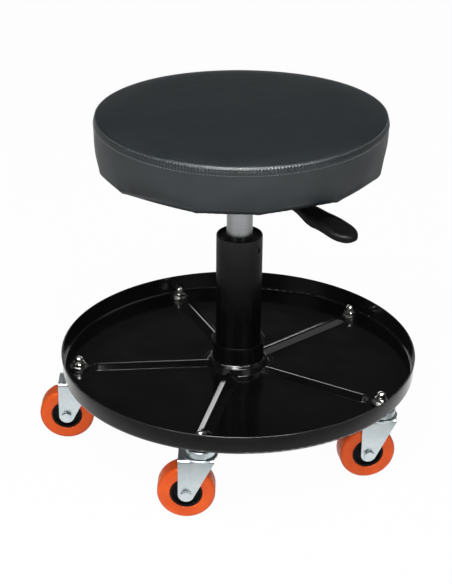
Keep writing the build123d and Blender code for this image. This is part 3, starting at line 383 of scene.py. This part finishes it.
# Half outline of the skin: along the hem, round the foot, up the band, over the seam and the edge and
# on to the middle, where the height falls from the crown's with the square of the radius
def outerProfile():
    look = seatLook
    edgeRadius = seamRadius - look["edgeInset"]
    edgeHeight = hemHeight + look["edgeRise"]
    crownHeight = seatHigh[2] - look["pullBack"]
    shares = np.linspace(1, 0, look["crownPoints"])[1:]
    arch = [(edgeRadius * share, crownHeight - (crownHeight - edgeHeight) * share ** 2) for share in shares]
    middle = (seamRadius - look["waistInset"] + seamRadius) / 2 + look["bulge"]
    seamHeight = hemHeight + look["seamRise"]
    points = [
        (footRadius - look["hemWidth"], hemHeight),
        (footRadius, hemHeight),
        (footRadius + look["tuckOut"], hemHeight + look["tuckRise"]),
        (seamRadius - look["waistInset"], hemHeight + look["waistRise"]),
        (middle, hemHeight + look["bulgeRise"]),
        (seamRadius, seamHeight),
        *[(seamRadius - inset, seamHeight + rise) for inset, rise in look["roll"]],
        (edgeRadius, edgeHeight),
    ]
    return roundedRun(points + arch, look["roundStep"], look["roundWindow"])


profile = outerProfile()
run = np.concatenate([[0], np.cumsum(np.hypot(*np.diff(profile, axis=0).T))])
third = len(run) // 3  # the seam lies in the first third of the run
seamRun = np.interp(hemHeight + seatLook["seamRise"], profile[:third, 1], run[:third])
footRun = run[np.argmin(np.hypot(profile[:, 0] - footRadius, profile[:, 1] - hemHeight))]
tangent = np.gradient(profile, run, axis=0)
tangent /= np.hypot(*tangent.T)[:, None]


# The profile's radius, height and outward normal at a distance along it
def profileAt(distance):
    radius, height = (np.interp(distance, run, profile[:, k]) for k in (0, 1))
    outward = np.interp(distance, run, tangent[:, 1])
    upward = -np.interp(distance, run, tangent[:, 0])
    return radius, height, outward, upward


# Inside the cushion the skin goes over the board's edge and closes above the board, out of sight
liningTop = boardHigh[2] + seatLook["boardGap"]
liningSide = boardRadius + seatLook["boardGap"]
liningFoot = boardLow[2] - seatLook["boardGap"] / 2
lining = np.array([
    *[(boardRadius * share, liningTop) for share in seatLook["liningShares"]],
    (liningSide, liningTop), (liningSide, (boardLow[2] + boardHigh[2]) / 2), (liningSide, liningFoot),
    (boardRadius - seatLook["liningInset"], liningFoot), (footRadius - seatLook["hemWidth"], liningFoot),
])
liningPole = np.array([0, 0, liningTop])


# Cloth: the skin is blown up a little on a coarse grid, held at the hem and lightly at the seam. Gives
# how far each of its points moves, in millimetres.
def blownSkin():
    look = seatLook
    rowsAt = np.arange(0, run[-1] - look["simEndGap"], look["simStep"])
    radius, height = profileAt(rowsAt)[:2]
    rings = np.vstack([lining, np.stack([radius, height], -1)])
    start = turned(rings * mm, look["simColumns"])
    skin = surface("skinTrial", start, vinyl, None, lowPole=liningPole * mm,
                   highPole=np.array([0, 0, profile[-1, 1]]) * mm)
    held = skin.vertex_groups.new(name="held")
    count = look["simColumns"]
    rowOf = np.repeat(np.arange(len(rings)), count)
    distance = np.concatenate([np.full(len(lining), -1.0), rowsAt])[rowOf]
    held.add(np.flatnonzero(distance <= footRun).tolist() + [len(rowOf)], 1.0, "REPLACE")
    atSeam = np.abs(distance - seamRun) < look["simStep"] / 2
    held.add(np.flatnonzero(atSeam).tolist(), look["seamHold"], "REPLACE")
    cloth = skin.modifiers.new("cloth", "CLOTH")
    cloth.settings.quality = look["simQuality"]
    cloth.settings.mass = look["simMass"]
    cloth.settings.tension_stiffness = cloth.settings.compression_stiffness = look["simStiffness"]
    cloth.settings.bending_stiffness = look["simBending"]
    cloth.settings.use_pressure = True
    cloth.settings.uniform_pressure_force = look["simPressure"]
    cloth.settings.vertex_group_mass = "held"
    cloth.settings.effector_weights.gravity = 0
    cloth.collision_settings.use_collision = False
    scene = bpy.context.scene
    scene.frame_start, scene.frame_end = 1, look["simFrames"]
    for moment in range(1, look["simFrames"] + 1):
        scene.frame_set(moment)
    settled = skin.evaluated_get(bpy.context.evaluated_depsgraph_get()).data
    moved = np.empty(len(settled.vertices) * 3)
    settled.vertices.foreach_get("co", moved)
    moved = moved.reshape(-1, 3)[:start.size // 3].reshape(start.shape) - start
    scene.frame_set(1)
    bpy.data.objects.remove(skin)
    moved = moved[len(lining):] / mm
    size = np.linalg.norm(moved, axis=-1, keepdims=True)
    print("cloth moved up to", round(float(size.max()), 1), "mm, capped at", look["simCap"])
    moved = moved * np.tanh(size / look["simCap"]) * look["simCap"] / np.maximum(size, 1e-6)
    # the foam under the skin stops short folds: the higher a wave's order round the seat, the less is left
    turn = np.arange(count) * 2 * pi / count
    swell = np.stack([moved[..., 0] * np.cos(turn) + moved[..., 1] * np.sin(turn), moved[..., 2]])
    waves = np.fft.rfft(swell, axis=2)
    order = np.arange(waves.shape[2])
    calm = np.clip(radius / look["calmRadius"], 0, 1)[:, None]
    waves = waves * np.exp(-(order / look["foldOrder"]) ** 2) * np.where(order > 0, calm, 1)
    out, up = np.fft.irfft(waves, count, axis=2)
    out = out * calm
    return np.stack([out * np.cos(turn), out * np.sin(turn), up], -1)


# Distance along the profile for each row: close rows at the seam and the foot, wider on the panel
def rowDistances():
    look = seatLook
    bounds = [0, footRun - look["footFine"][0], footRun + look["footFine"][1],
              seamRun - look["seamFine"][0], seamRun + look["seamFine"][1], run[-1] - look["endGap"]]
    spans = [np.linspace(low, high, count, endpoint=False)
             for low, high, count in zip(bounds[:-1], bounds[1:], look["rowCounts"])]
    return np.concatenate(spans + [bounds[-1:]])


# The hem is pulled straight between staples, so the foot is a soft polygon: between two pulls the
# radius falls to cos(half) / cos(place from the middle) of the circle, by a share that fades upwards
def chordDrop(angle):
    pulls = np.sort(np.radians(seatLook["pullAngles"]) % (2 * pi))
    after = np.searchsorted(pulls, angle % (2 * pi)) % len(pulls)
    low, high = pulls[after - 1], pulls[after]
    half = ((high - low) % (2 * pi)) / 2
    fromMiddle = (angle - low) % (2 * pi) - half
    drop = footRadius * (np.cos(half) / np.cos(fromMiddle) - 1)
    return drop, np.minimum(fromMiddle + half, half - fromMiddle)


# The skin: the half outline is turned round the axis. It is pushed along its normal by the groove of
# the seam, its welts, the stitches' furrows, ridges at the pulls, pleats in the hem and slow waves.
def cushionGrid():
    look = seatLook
    angle = np.linspace(0, 2 * pi, look["columns"], endpoint=False)
    distance = rowDistances()
    radius, height, outward, upward = (part[:, None] for part in profileAt(distance))
    fromSeam = (distance - seamRun)[:, None]
    rise = np.maximum(distance - footRun, 0)[:, None]
    drop, fromPull = chordDrop(angle)
    push = -look["grooveDepth"] * np.exp(-(fromSeam / look["grooveWidth"]) ** 2)
    for side in (1, -1):
        fromWelt = fromSeam - side * look["weltPlace"]
        push = push + look["weltHeight"] * np.exp(-(fromWelt / look["weltWidth"]) ** 2)
    for row in look["stitchRows"]:
        push = push - look["stitchSink"] * np.exp(-((fromSeam - row) / look["stitchSinkWidth"]) ** 2)
    ridge = np.exp(-(fromPull * footRadius / look["ridgeWidth"]) ** 2) * np.exp(-rise / look["ridgeReach"])
    fromWave = (rise - look["bandWaveRise"]) / look["bandWaveReach"]
    bandWave = unevenWave(angle, (5, 9, 14, 23)) * np.exp(-fromWave ** 2)
    pleats = np.abs(np.sin(angle * look["pleats"] + unevenWave(angle, (3, 7, 11)))) * (rise == 0)
    topWave = unevenWave(angle, (2, 3, 5)) * np.clip(fromSeam / look["topWaveIn"], 0, 1)
    topWave = topWave * np.clip((run[-1] - distance[:, None]) / look["topWaveOut"], 0, 1)
    push = push + look["ridgeHeight"] * ridge + look["bandWave"] * bandWave
    push = push + look["pleatDepth"] * pleats + look["topWave"] * topWave
    pulledIn = look["chordShare"] * drop * np.exp(-(rise / look["chordReach"]) ** 2)
    radial = radius + push * outward + pulledIn
    # the foot hangs lowest on the left, and the seam rises at the sides and leans to the right rear
    sag = look["footTilt"] * np.cos(angle) - look["footTwist"] * np.cos(2 * angle) - look["footSag"]
    sag = sag * np.exp(-(rise / look["sagReach"]) ** 2)
    sag = sag * np.clip(distance / footRun, 0, 1)[:, None] ** 2
    leaning = np.cos(angle - radians(look["leanAngle"]))
    lift = look["seamLift"] * np.cos(2 * angle) + look["lean"] * leaning
    onBand = np.exp(-(fromSeam / look["leanReach"]) ** 2)
    lift = lift * np.where(fromSeam < 0, onBand, (radius / seamRadius) ** 2)
    level = height + push * upward + sag + lift
    grid = np.stack([radial * np.cos(angle), radial * np.sin(angle), level], -1)
    uv = np.stack([angle * seamRadius + 0 * fromSeam, fromSeam + 0 * angle], -1)
    return angle, distance, grid, uv


# The cushion is the skin plus what the cloth moved, read from its coarse grid by cubic curves
def makeCushion():
    look = seatLook
    angle, distance, grid, uv = cushionGrid()
    moved = blownSkin()
    byRow = cubicAt(moved, np.clip(distance / look["simStep"], 0, len(moved) - 1), False)
    byColumn = cubicAt(byRow.transpose(1, 0, 2), angle / (2 * pi) * look["simColumns"], True)
    fadeIn = np.clip((distance - footRun) / look["footFade"], 0, 1)
    grid = grid + byColumn.transpose(1, 0, 2) * fadeIn[:, None, None]
    inside = turned(lining, look["columns"])
    whole = np.concatenate([inside, grid]) * mm
    insideUv = np.full(inside.shape[:2] + (2,), -90.0)  # far from every stitch
    cushion = surface("seatCushion", whole, vinyl, "seat", lowPole=liningPole * mm,
                      highPole=grid[-1].mean(0) * mm, uv=np.concatenate([insideUv, uv]))
    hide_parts("seat_cover", "seat_foam")
    return distance, grid


distance, skinGrid = makeCushion()
print("cushion made:", skinGrid.shape[0], "rows,", skinGrid.shape[1], "columns")


# Stitches: each is a short tube along its row, arched over the skin by 1 - dive * t^2, so that its
# ends dive into it, and thinned towards them by the root of 1 - t^4, for t from -1 to 1
stitchLook = dict(length=2.5, thread=0.34, arch=0.4, dive=1.6, slant=0.22, tipShare=0.04, rings=6, sides=6)


def stitchRow(offset):
    look = stitchLook
    count = int(round(2 * pi * seamRadius / stitchPitch))
    middle = np.arange(count) * 2 * pi / count
    t = np.linspace(-1, 1, look["rings"])
    at = middle[:, None] + t * look["length"] / 2 / seamRadius
    row = np.interp(seamRun + offset, distance, np.arange(len(distance)))
    low = int(row)
    share = row - low
    line = skinGrid[low] * (1 - share) + skinGrid[low + 1] * share
    across = skinGrid[low + 1] - skinGrid[low]
    across /= np.linalg.norm(across, axis=1, keepdims=True)
    places = at.ravel() / (2 * pi) * len(line)
    centre = cubicAt(line, places, True).reshape(count, -1, 3)
    upRow = cubicAt(across, places, True).reshape(count, -1, 3)
    alongRow = np.stack([-np.sin(at), np.cos(at), 0 * at], -1)
    normal = np.cross(alongRow, upRow)
    normal /= np.linalg.norm(normal, axis=-1, keepdims=True)
    centre = centre + normal * (look["arch"] * (1 - look["dive"] * t ** 2))[None, :, None]
    centre = centre + upRow * (look["slant"] * t)[None, :, None]
    turn = np.linspace(0, 2 * pi, look["sides"], endpoint=False)
    thin = np.sqrt(np.clip(1 + look["tipShare"] - t ** 4, look["tipShare"], 1))
    ring = normal[:, :, None] * np.cos(turn)[:, None] + upRow[:, :, None] * np.sin(turn)[:, None]
    return (centre[:, :, None] + ring * (look["thread"] * thin)[None, :, None, None]) * mm


def makeStitches():
    tubes = np.concatenate([stitchRow(offset) for offset in seatLook["stitchRows"]])
    count, rings, sides = tubes.shape[:3]
    index = np.arange(tubes.size // 3).reshape(count, rings, sides)
    beside = np.roll(index, -1, 2)
    quads = np.stack([index[:, :-1], beside[:, :-1], beside[:, 1:], index[:, 1:]], -1).reshape(-1, 4)
    ends = np.concatenate([index[:, 0, ::-1], index[:, -1]])
    mesh = bpy.data.meshes.new("seatStitches")
    mesh.from_pydata(tubes.reshape(-1, 3).tolist(), [], quads.tolist() + ends.tolist())
    mesh.polygons.foreach_set("use_smooth", np.full(len(mesh.polygons), True))
    mesh.materials.append(thread)
    made = bpy.data.objects.new("seatStitches", mesh)
    bpy.context.scene.collection.objects.link(made)
    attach(made, "seat")
    print("stitches made:", count)


makeStitches()


# One closed skin along the lever: at each reach the section is a rounded box, cosine and sine to the
# power 2 / squareness, with its half width, half thickness and middle height read from the rows below.
# The paddle's top has a dish.
leverLook = dict(
    angle=-50.0, squareness=3.0, dishDepth=1.8, dishRim=3.6, dishSoft=2.6, dishStart=124.0, dishEase=9.0,
    dishEnd=3.0, dishEndEase=4.0, endRound=20.0, endEdge=7.0, startRound=1.5, rows=130, columns=64,
    samples=300, halfWindow=15, startSkip=0.02, tipSkip=0.012, startLeast=0.5, tipWidth=0.02, tipThick=0.05,
    reach=[84, 92, 100, 108, 115, 123, 131, 141, 152, 163, 170, 174.5],
    halfWidth=[9.5, 9.3, 9.8, 11.0, 12.2, 13.0, 14.0, 15.0, 15.3, 14.9, 14.3, 13.8],
    halfThick=[5.6, 5.0, 5.3, 6.4, 7.2, 7.3, 6.4, 5.8, 5.5, 5.2, 4.6, 4.2],
    middle=[303.4, 302.9, 301.5, 300.0, 298.6, 297.4, 297.6, 297.2, 295.6, 294.0, 293.2, 292.7],
)


def leverHandle():
    look = leverLook
    reach = np.array(look["reach"], float)
    first, last = reach[0], reach[-1]
    spread = np.linspace(look["startSkip"], pi - look["tipSkip"], look["rows"])
    x = first + (last - first) * (1 - np.cos(spread)) / 2
    even = np.linspace(first, last, look["samples"])
    place = (x - first) / (last - first) * (look["samples"] - 1)
    margin = look["halfWindow"]
    kernel = np.hanning(2 * margin + 3)[1:-1]

    def smooth(name):
        values = np.pad(np.interp(even, reach, look[name]), margin, "reflect", reflect_type="odd")
        return cubicAt(np.convolve(values, kernel / kernel.sum(), "valid"), place, False)

    half, thick, height = smooth("halfWidth"), smooth("halfThick"), smooth("middle")
    toTip, toStart = last - x, x - first

    def eased(distance, radius, least):
        share = np.clip(1 - distance / radius, 0, 1)
        return np.sqrt(np.clip(1 - share ** 2, least ** 2, 1))

    atStart = eased(toStart, look["startRound"], look["startLeast"])
    half = half * eased(toTip, look["endRound"], look["tipWidth"]) * atStart
    thick = thick * eased(toTip, look["endEdge"], look["tipThick"]) * atStart
    around = np.linspace(0, 2 * pi, look["columns"], endpoint=False)
    power = 2 / look["squareness"]
    across = half[:, None] * np.sign(np.cos(around)) * np.abs(np.cos(around)) ** power
    lift = thick[:, None] * np.sign(np.sin(around)) * np.abs(np.sin(around)) ** power
    inDish = np.clip((half[:, None] - look["dishRim"] - np.abs(across)) / look["dishSoft"], 0, 1)
    along = np.clip((x - look["dishStart"]) / look["dishEase"], 0, 1)
    along = along * np.clip((toTip - look["dishEnd"]) / look["dishEndEase"], 0, 1)
    inDish = inDish * along[:, None]
    inDish = inDish ** 2 * (3 - 2 * inDish)
    lift = np.where(lift > 0, lift - look["dishDepth"] * inDish, lift)
    turn = radians(look["angle"])
    grid = np.stack([x[:, None] * cos(turn) - across * sin(turn),
                     x[:, None] * sin(turn) + across * cos(turn), height[:, None] + lift], -1) * mm
    handle = surface("leverHandle", grid, leverPlastic, "lever", lowPole=grid[0].mean(0),
                     highPole=grid[-1].mean(0))
    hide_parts("lever_handle")


leverHandle()
print("lever handle made")


# Round the nut the radius is a hexagon, flat / cos(angle from the middle of the flat), cut back at
# its corners by the chamfer's cone, and above the hexagon it is the dome's circle
nutLook = dict(across=12.6, hexHeight=4.8, domeRadius=4.8, height=12.0, columns=72, edge=0.25, chamfer=0.7,
               shoulder=1.2, flatShare=0.985, neckShare=0.93, neckRises=(0.05, 0.9, 1.7), domeRows=16,
               domeHole=0.08, sharpAngle=38, turns=(10, 6, 14, 3, 18))


def capNut(number, centre, turn):
    look = nutLook
    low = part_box("cap_nuts")[0][2] / mm
    flat, corner = look["across"] / 2, look["across"] / 2 / cos(pi / 6)
    hexHeight, chamfer, dome = look["hexHeight"], look["chamfer"], look["domeRadius"]
    edges = np.array([0.0, look["edge"], chamfer, look["shoulder"]])
    hexHeights = np.concatenate([edges, hexHeight - edges[::-1]])
    cutBack = flat * look["flatShare"]
    coneRadius = np.interp(hexHeights, [0, chamfer, hexHeight - chamfer, hexHeight],
                           [cutBack, corner, corner, cutBack])
    angle = np.linspace(0, 2 * pi, look["columns"], endpoint=False)
    hexRadius = flat / np.cos((angle + pi / 6) % (pi / 3) - pi / 6)
    hexRows = np.minimum(hexRadius[None, :], coneRadius[:, None])
    neck = dome * look["neckShare"]
    rise = np.linspace(0, pi / 2 - look["domeHole"], look["domeRows"])
    domeRadius = np.concatenate([[neck, neck, dome * look["flatShare"]], dome * np.cos(rise)])
    domeHeight = np.concatenate([hexHeight + np.array(look["neckRises"]),
                                 look["height"] - dome + dome * np.sin(rise)])
    radius = np.vstack([hexRows, domeRadius[:, None] + 0 * angle]) * mm
    height = (np.concatenate([hexHeights, domeHeight])[:, None] + low) * mm
    grid = np.stack([centre[0] + radius * np.cos(angle + turn), centre[1] + radius * np.sin(angle + turn),
                     height + 0 * angle], -1)
    tip = [centre[0], centre[1], (low + look["height"]) * mm]
    foot = [centre[0], centre[1], low * mm]
    nut = surface(f"capNut{number}", grid, nickel, "base", lowPole=foot, highPole=tip)
    sharp = nut.modifiers.new("edges", "EDGE_SPLIT")
    sharp.split_angle = radians(look["sharpAngle"])
    return nut


# The middle of a caster's stem, where its nut stands and its rib ends
def stemPlace(number):
    low, high = (np.array(corner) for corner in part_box(f"caster_stem_{number}"))
    return ((low + high) / 2)[:2]


nuts = [capNut(k, stemPlace(k), radians(nutLook["turns"][k - 1])) for k in casters]
for nut in nuts:
    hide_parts("cap_nuts")
print("cap nuts made")


# A lumpy ring at the collar's foot: a small circle carried round the collar, its size following the
# drops of the weld, |sin|, and swelling to a crumpled lump where the weld starts and ends
weldLook = dict(collarHeight=23.3, ringRadius=28.7, ringDrift=0.2, ringLift=0.3, beadRadius=1.5, drops=78,
                dropDepth=0.12, dropSwing=1.6, dropDrift=0.8, wander=0.22, lumpAngle=-70.0, lumpHalf=12.0,
                lumpRise=0.9, lumpLift=0.5, crumple=0.35, foldsAround=3, foldsAlong=40,
                rows=18, columns=1100)


def weldBead():
    look = weldLook
    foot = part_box("column_collar")[1][2] / mm - look["collarHeight"]
    angle = np.linspace(0, 2 * pi, look["columns"], endpoint=False)
    drop = np.abs(np.sin(angle * look["drops"] / 2 + look["dropDrift"] * unevenWave(angle, (5, 8, 13))))
    fromLump = (np.degrees(angle) - look["lumpAngle"] + 180) % 360 - 180
    lump = np.exp(-(fromLump / look["lumpHalf"]) ** 4)
    size = look["beadRadius"] * (1 - look["dropDepth"] + look["dropSwing"] * look["dropDepth"] * drop)
    size = size + look["wander"] * unevenWave(angle, (3, 7, 11, 17)) + look["lumpRise"] * lump
    around = np.linspace(0, 2 * pi, look["rows"], endpoint=False)[:, None]
    folds = np.sin(look["foldsAround"] * around + look["foldsAlong"] * angle)
    size = size + look["crumple"] * lump * (unevenWave(angle, (61, 83, 107, 131)) * folds)
    radius = look["ringRadius"] + look["ringDrift"] * unevenWave(angle, (4, 9)) + size * np.cos(around)
    height = foot + look["ringLift"] + look["lumpLift"] * lump + size * np.sin(around)
    grid = np.stack([radius * np.cos(angle), radius * np.sin(angle), height + 0 * angle], -1) * mm
    bead = surface("weldBead", grid, columnBlack, "base", looped=True)


weldBead()
print("weld made")


# Tray rim: the wall's cut edge is rounded by its paint, just over half a circle carried round. The first
# point comes again at the end, which closes the section and keeps its corner there sharp.
traySheet = 1.2  # thickness of the tray's steel
rimLook = dict(paint=0.06, sink=0.18, overlap=0.12, rows=14, columns=720)


def trayRim():
    look = rimLook
    high = np.array(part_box("tray")[1]) / mm
    radius = traySheet / 2 + look["paint"]
    around = np.linspace(-look["overlap"], pi + look["overlap"], look["rows"])
    section = np.stack([high[0] - traySheet / 2 + radius * np.cos(around),
                        high[2] - look["sink"] + radius * np.sin(around)], -1)
    section = np.vstack([section, section[:1]])
    rim = surface("trayRim", turned(section * mm, look["columns"]), trayBlack, "base")


trayRim()
print("rim made")


# Paint rounds the pressings. A rib's skin carries one closed section outwards along the rib. At the
# outer end its rise eases to nothing and its width to a share. The boss's skin is a closed section
# turned round it: the points are radius and height above the tray's floor, its foot's corner is sharp.
pressingLook = dict(
    under=0.4, ribHalf=8.6, ribLap=0.02, crestHalf=2.0, shoulder=3.75, crest=4.2, ribStart=31.0,
    ribEnd=165.0, ease=10.0, endShare=0.3, ribRows=90, underPoints=12, roundStep=0.25, ribWindow=1.8,
    bossOver=[(40.0, 0.02), (34.8, 0.02), (31.2, 7.62), (28.4, 7.62)],
    bossUnder=[(28.4, 7.0), (30.4, 7.0), (33.8, -0.4), (40.0, -0.4)], bossWindow=3.4, bossColumns=360,
)


def ribSkin(number, turn, floor):
    look = pressingLook
    side = [(look["ribHalf"], -look["ribLap"]), (look["crestHalf"], look["shoulder"])]
    points = [(-place, rise) for place, rise in side] + [(0, look["crest"])] + side[::-1]
    section = roundedRun(points, look["roundStep"], look["ribWindow"])
    below = np.linspace(look["ribHalf"], -look["ribHalf"], look["underPoints"])
    under = np.stack([below, np.full(look["underPoints"], -look["under"])], -1)
    across, rise = np.vstack([section, under]).T
    out = np.linspace(look["ribStart"], look["ribEnd"], look["ribRows"])[:, None]
    ease = np.clip((look["ribEnd"] - out) / look["ease"], 0, 1)
    ease = ease * ease * (3 - 2 * ease)
    across = across * (look["endShare"] + (1 - look["endShare"]) * np.sqrt(ease))
    level = floor + np.where(rise > 0, rise * ease, rise)
    grid = np.stack([out * cos(turn) - across * sin(turn), out * sin(turn) + across * cos(turn),
                     level], -1) * mm
    rib = surface(f"ribSkin{number}", grid, trayBlack, "base", lowPole=grid[0].mean(0),
                  highPole=grid[-1].mean(0))


def bossSkin(floor):
    look = pressingLook
    over = roundedRun(look["bossOver"], look["roundStep"], look["bossWindow"])
    section = np.vstack([over, look["bossUnder"], over[:1]]) + (0, floor)
    boss = surface("bossSkin", turned(section * mm, look["bossColumns"]), trayBlack, "base")


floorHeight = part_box("tray")[0][2] / mm + traySheet
for k in casters:
    alongX, alongY = stemPlace(k)
    ribSkin(k, atan2(alongY, alongX), floorHeight)
bossSkin(floorHeight)
print("pressings made")


# A white floor that keeps a faint shadow for the eye. Metal and gloss see it as a pool of light with a
# pale rim further out, and around it a dark studio with a pale horizon behind and soft patches of light.
# Each patch stands at an azimuth and elevation in degrees, full inside one radius, gone at the next.
stageLook = dict(
    floorSize=12.0, floorColour="f4f4f4", selfLit=0.97, poolNear=0.27, poolFar=0.325, poolBright=1.05,
    poolDim=0.2, rimNear=0.53, rimFar=0.63, rimBright=0.72, rimSides=0.35, rimBack=0.2, rimFront=-0.8,
    surround=1.0, fill=0.28, studio=0.04, horizon=0.12, horizonBehind=0.5, horizonLow=0.1, horizonHigh=0.3,
)
patches = dict(
    overhead=dict(azimuth=260, elevation=60, full=7, gone=15, level=46.0),
    overheadLeft=dict(azimuth=220, elevation=58, full=4, gone=13, level=12.0),
    overheadRight=dict(azimuth=302, elevation=58, full=5, gone=14, level=22.0),
    zenith=dict(azimuth=270, elevation=88, full=3, gone=12, level=1.8),
    left=dict(azimuth=225, elevation=25, full=5, gone=18, level=0.5),
    right=dict(azimuth=302, elevation=25, full=5, gone=18, level=0.5),
    rightHigh=dict(azimuth=18, elevation=52, full=10, gone=22, level=0.8),
)


def makeFloor(look):
    material = bpy.data.materials.new("paperSweep")
    material.use_nodes = True
    tree = material.node_tree
    tree.nodes.remove(tree.nodes["Principled BSDF"])
    ray = addNode(tree, "LightPath")
    place = addNode(tree, "TexCoord")["Object"]
    out = addNode(tree, "VectorMath", {0: place}, operation="LENGTH")["Value"]
    pool = addNode(tree, "MapRange", {
        "Value": out, "From Min": look["poolNear"], "From Max": look["poolFar"],
        "To Min": look["poolBright"], "To Max": look["poolDim"]}, interpolation_type="SMOOTHSTEP")["Result"]
    rim = addNode(tree, "MapRange", {"Value": out, "From Min": look["rimNear"], "From Max": look["rimFar"],
                                     "To Max": look["rimBright"]})["Result"]
    # the rim is brightest in front and falls towards the sides and the back
    ahead = addNode(tree, "VectorMath", {0: place}, operation="NORMALIZE")["Vector"]
    towards = addNode(tree, "SeparateXYZ", {"Vector": ahead})["Y"]
    facing = addNode(tree, "MapRange", {"Value": towards, "From Min": look["rimBack"],
                                        "From Max": look["rimFront"], "To Min": look["rimSides"]})["Result"]
    rim = addNode(tree, "Math", {0: rim, 1: facing}, operation="MULTIPLY")[0]
    level = addNode(tree, "Math", {0: pool, 1: rim}, operation="ADD")[0]
    poolLight = addNode(tree, "Emission", {"Strength": level})[0]
    paper = addNode(tree, "BsdfDiffuse", {"Color": hexColour(look["floorColour"])})[0]
    glow = addNode(tree, "Emission", {"Strength": 1.0})[0]
    share = addNode(tree, "Math", {0: ray["Is Camera Ray"], 1: look["selfLit"]}, operation="MULTIPLY")[0]
    seen = addNode(tree, "MixShader", {0: share, 1: paper, 2: glow})[0]
    mixed = addNode(tree, "MixShader", {0: ray["Is Glossy Ray"], 1: seen, 2: poolLight})[0]
    tree.links.new(mixed, tree.nodes["Material Output"].inputs["Surface"])
    half = look["floorSize"] / 2
    corners = [(-half, -half, 0), (half, -half, 0), (half, half, 0), (-half, half, 0)]
    mesh = bpy.data.meshes.new("floor")
    mesh.from_pydata(corners, [], [(0, 1, 2, 3)])
    mesh.materials.append(material)
    floor = bpy.data.objects.new("floor", mesh)
    bpy.context.scene.collection.objects.link(floor)


def makeStudio(look):
    world = bpy.data.worlds.new("studio")
    world.use_nodes = True
    bpy.context.scene.world = world
    tree = world.node_tree
    direction = addNode(tree, "TexCoord")["Generated"]
    towards = addNode(tree, "SeparateXYZ", {"Vector": direction})
    low = addNode(tree, "MapRange", {"Value": towards["Z"], "From Min": look["horizonLow"],
                                     "From Max": look["horizonHigh"], "To Min": look["horizon"],
                                     "To Max": 0.0})["Result"]
    behind = addNode(tree, "MapRange", {"Value": towards["Y"],
                                        "From Max": look["horizonBehind"]})["Result"]
    gloss = addNode(tree, "Math", {0: low, 1: behind}, operation="MULTIPLY")[0]
    gloss = addNode(tree, "Math", {0: gloss, 1: look["studio"]}, operation="ADD")[0]
    for patch in patches.values():
        turn, rise, full, gone = (radians(patch[name]) for name in ("azimuth", "elevation", "full", "gone"))
        centre = (cos(turn) * cos(rise), sin(turn) * cos(rise), sin(rise))
        near = addNode(tree, "VectorMath", {0: direction, 1: centre}, operation="DOT_PRODUCT")["Value"]
        glow = addNode(tree, "MapRange", {
            "Value": near, "From Min": cos(gone), "From Max": cos(full),
            "To Max": patch["level"]}, interpolation_type="SMOOTHSTEP")["Result"]
        gloss = addNode(tree, "Math", {0: gloss, 1: glow}, operation="ADD")[0]
    ray = addNode(tree, "LightPath")
    unseen = addNode(tree, "Mix", {0: ray["Is Glossy Ray"], 2: look["fill"], 3: gloss})[0]
    level = addNode(tree, "Mix", {0: ray["Is Camera Ray"], 2: unseen, 3: look["surround"]})[0]
    tree.links.new(level, tree.nodes["Background"].inputs["Strength"])
    tree.nodes["Background"].inputs["Color"].default_value = (1, 1, 1, 1)


# Softboxes for the matt colours: each is a rectangle aimed at a point on the stool. Gloss sees the
# studio's patches in their place, and a low card behind the tray that lights its ribs.
lamps = dict(
    overhead=dict(place=(-0.05, -1.05, 1.85), aim=(0, 0, 0.3), size=(1.3, 0.4), watts=13),
    left=dict(place=(-1.34, -1.34, 1.0), aim=(0, 0, 0.2), size=(0.6, 1.0), watts=16),
    right=dict(place=(0.95, -1.65, 1.0), aim=(0, 0, 0.2), size=(0.5, 1.0), watts=8),
    front=dict(place=(-0.1, -2.1, 0.7), aim=(0, 0, 0.25), size=(0.9, 0.5), watts=22),
    rearCard=dict(place=(-0.05, 0.62, 0.18), aim=(-0.05, -0.1, 0.1), size=(0.64, 0.14), watts=0.9,
                  glossOnly=True),
)


def makeLamps():
    for name, lamp in lamps.items():
        data = bpy.data.lights.new(name, "AREA")
        data.shape = "RECTANGLE"
        data.size, data.size_y = lamp["size"]
        data.energy = lamp["watts"]
        made = bpy.data.objects.new(name, data)
        made.location = lamp["place"]
        aimed = Vector(lamp["aim"]) - Vector(lamp["place"])
        made.rotation_euler = aimed.to_track_quat("-Z", "Y").to_euler()
        made.visible_glossy = lamp.get("glossOnly", False)
        made.visible_diffuse = not made.visible_glossy
        made.visible_camera = False
        bpy.context.scene.collection.objects.link(made)


makeFloor(stageLook)
makeStudio(stageLook)
makeLamps()
bpy.context.scene.view_settings.view_transform = "Standard"
print("stage and lamps made")
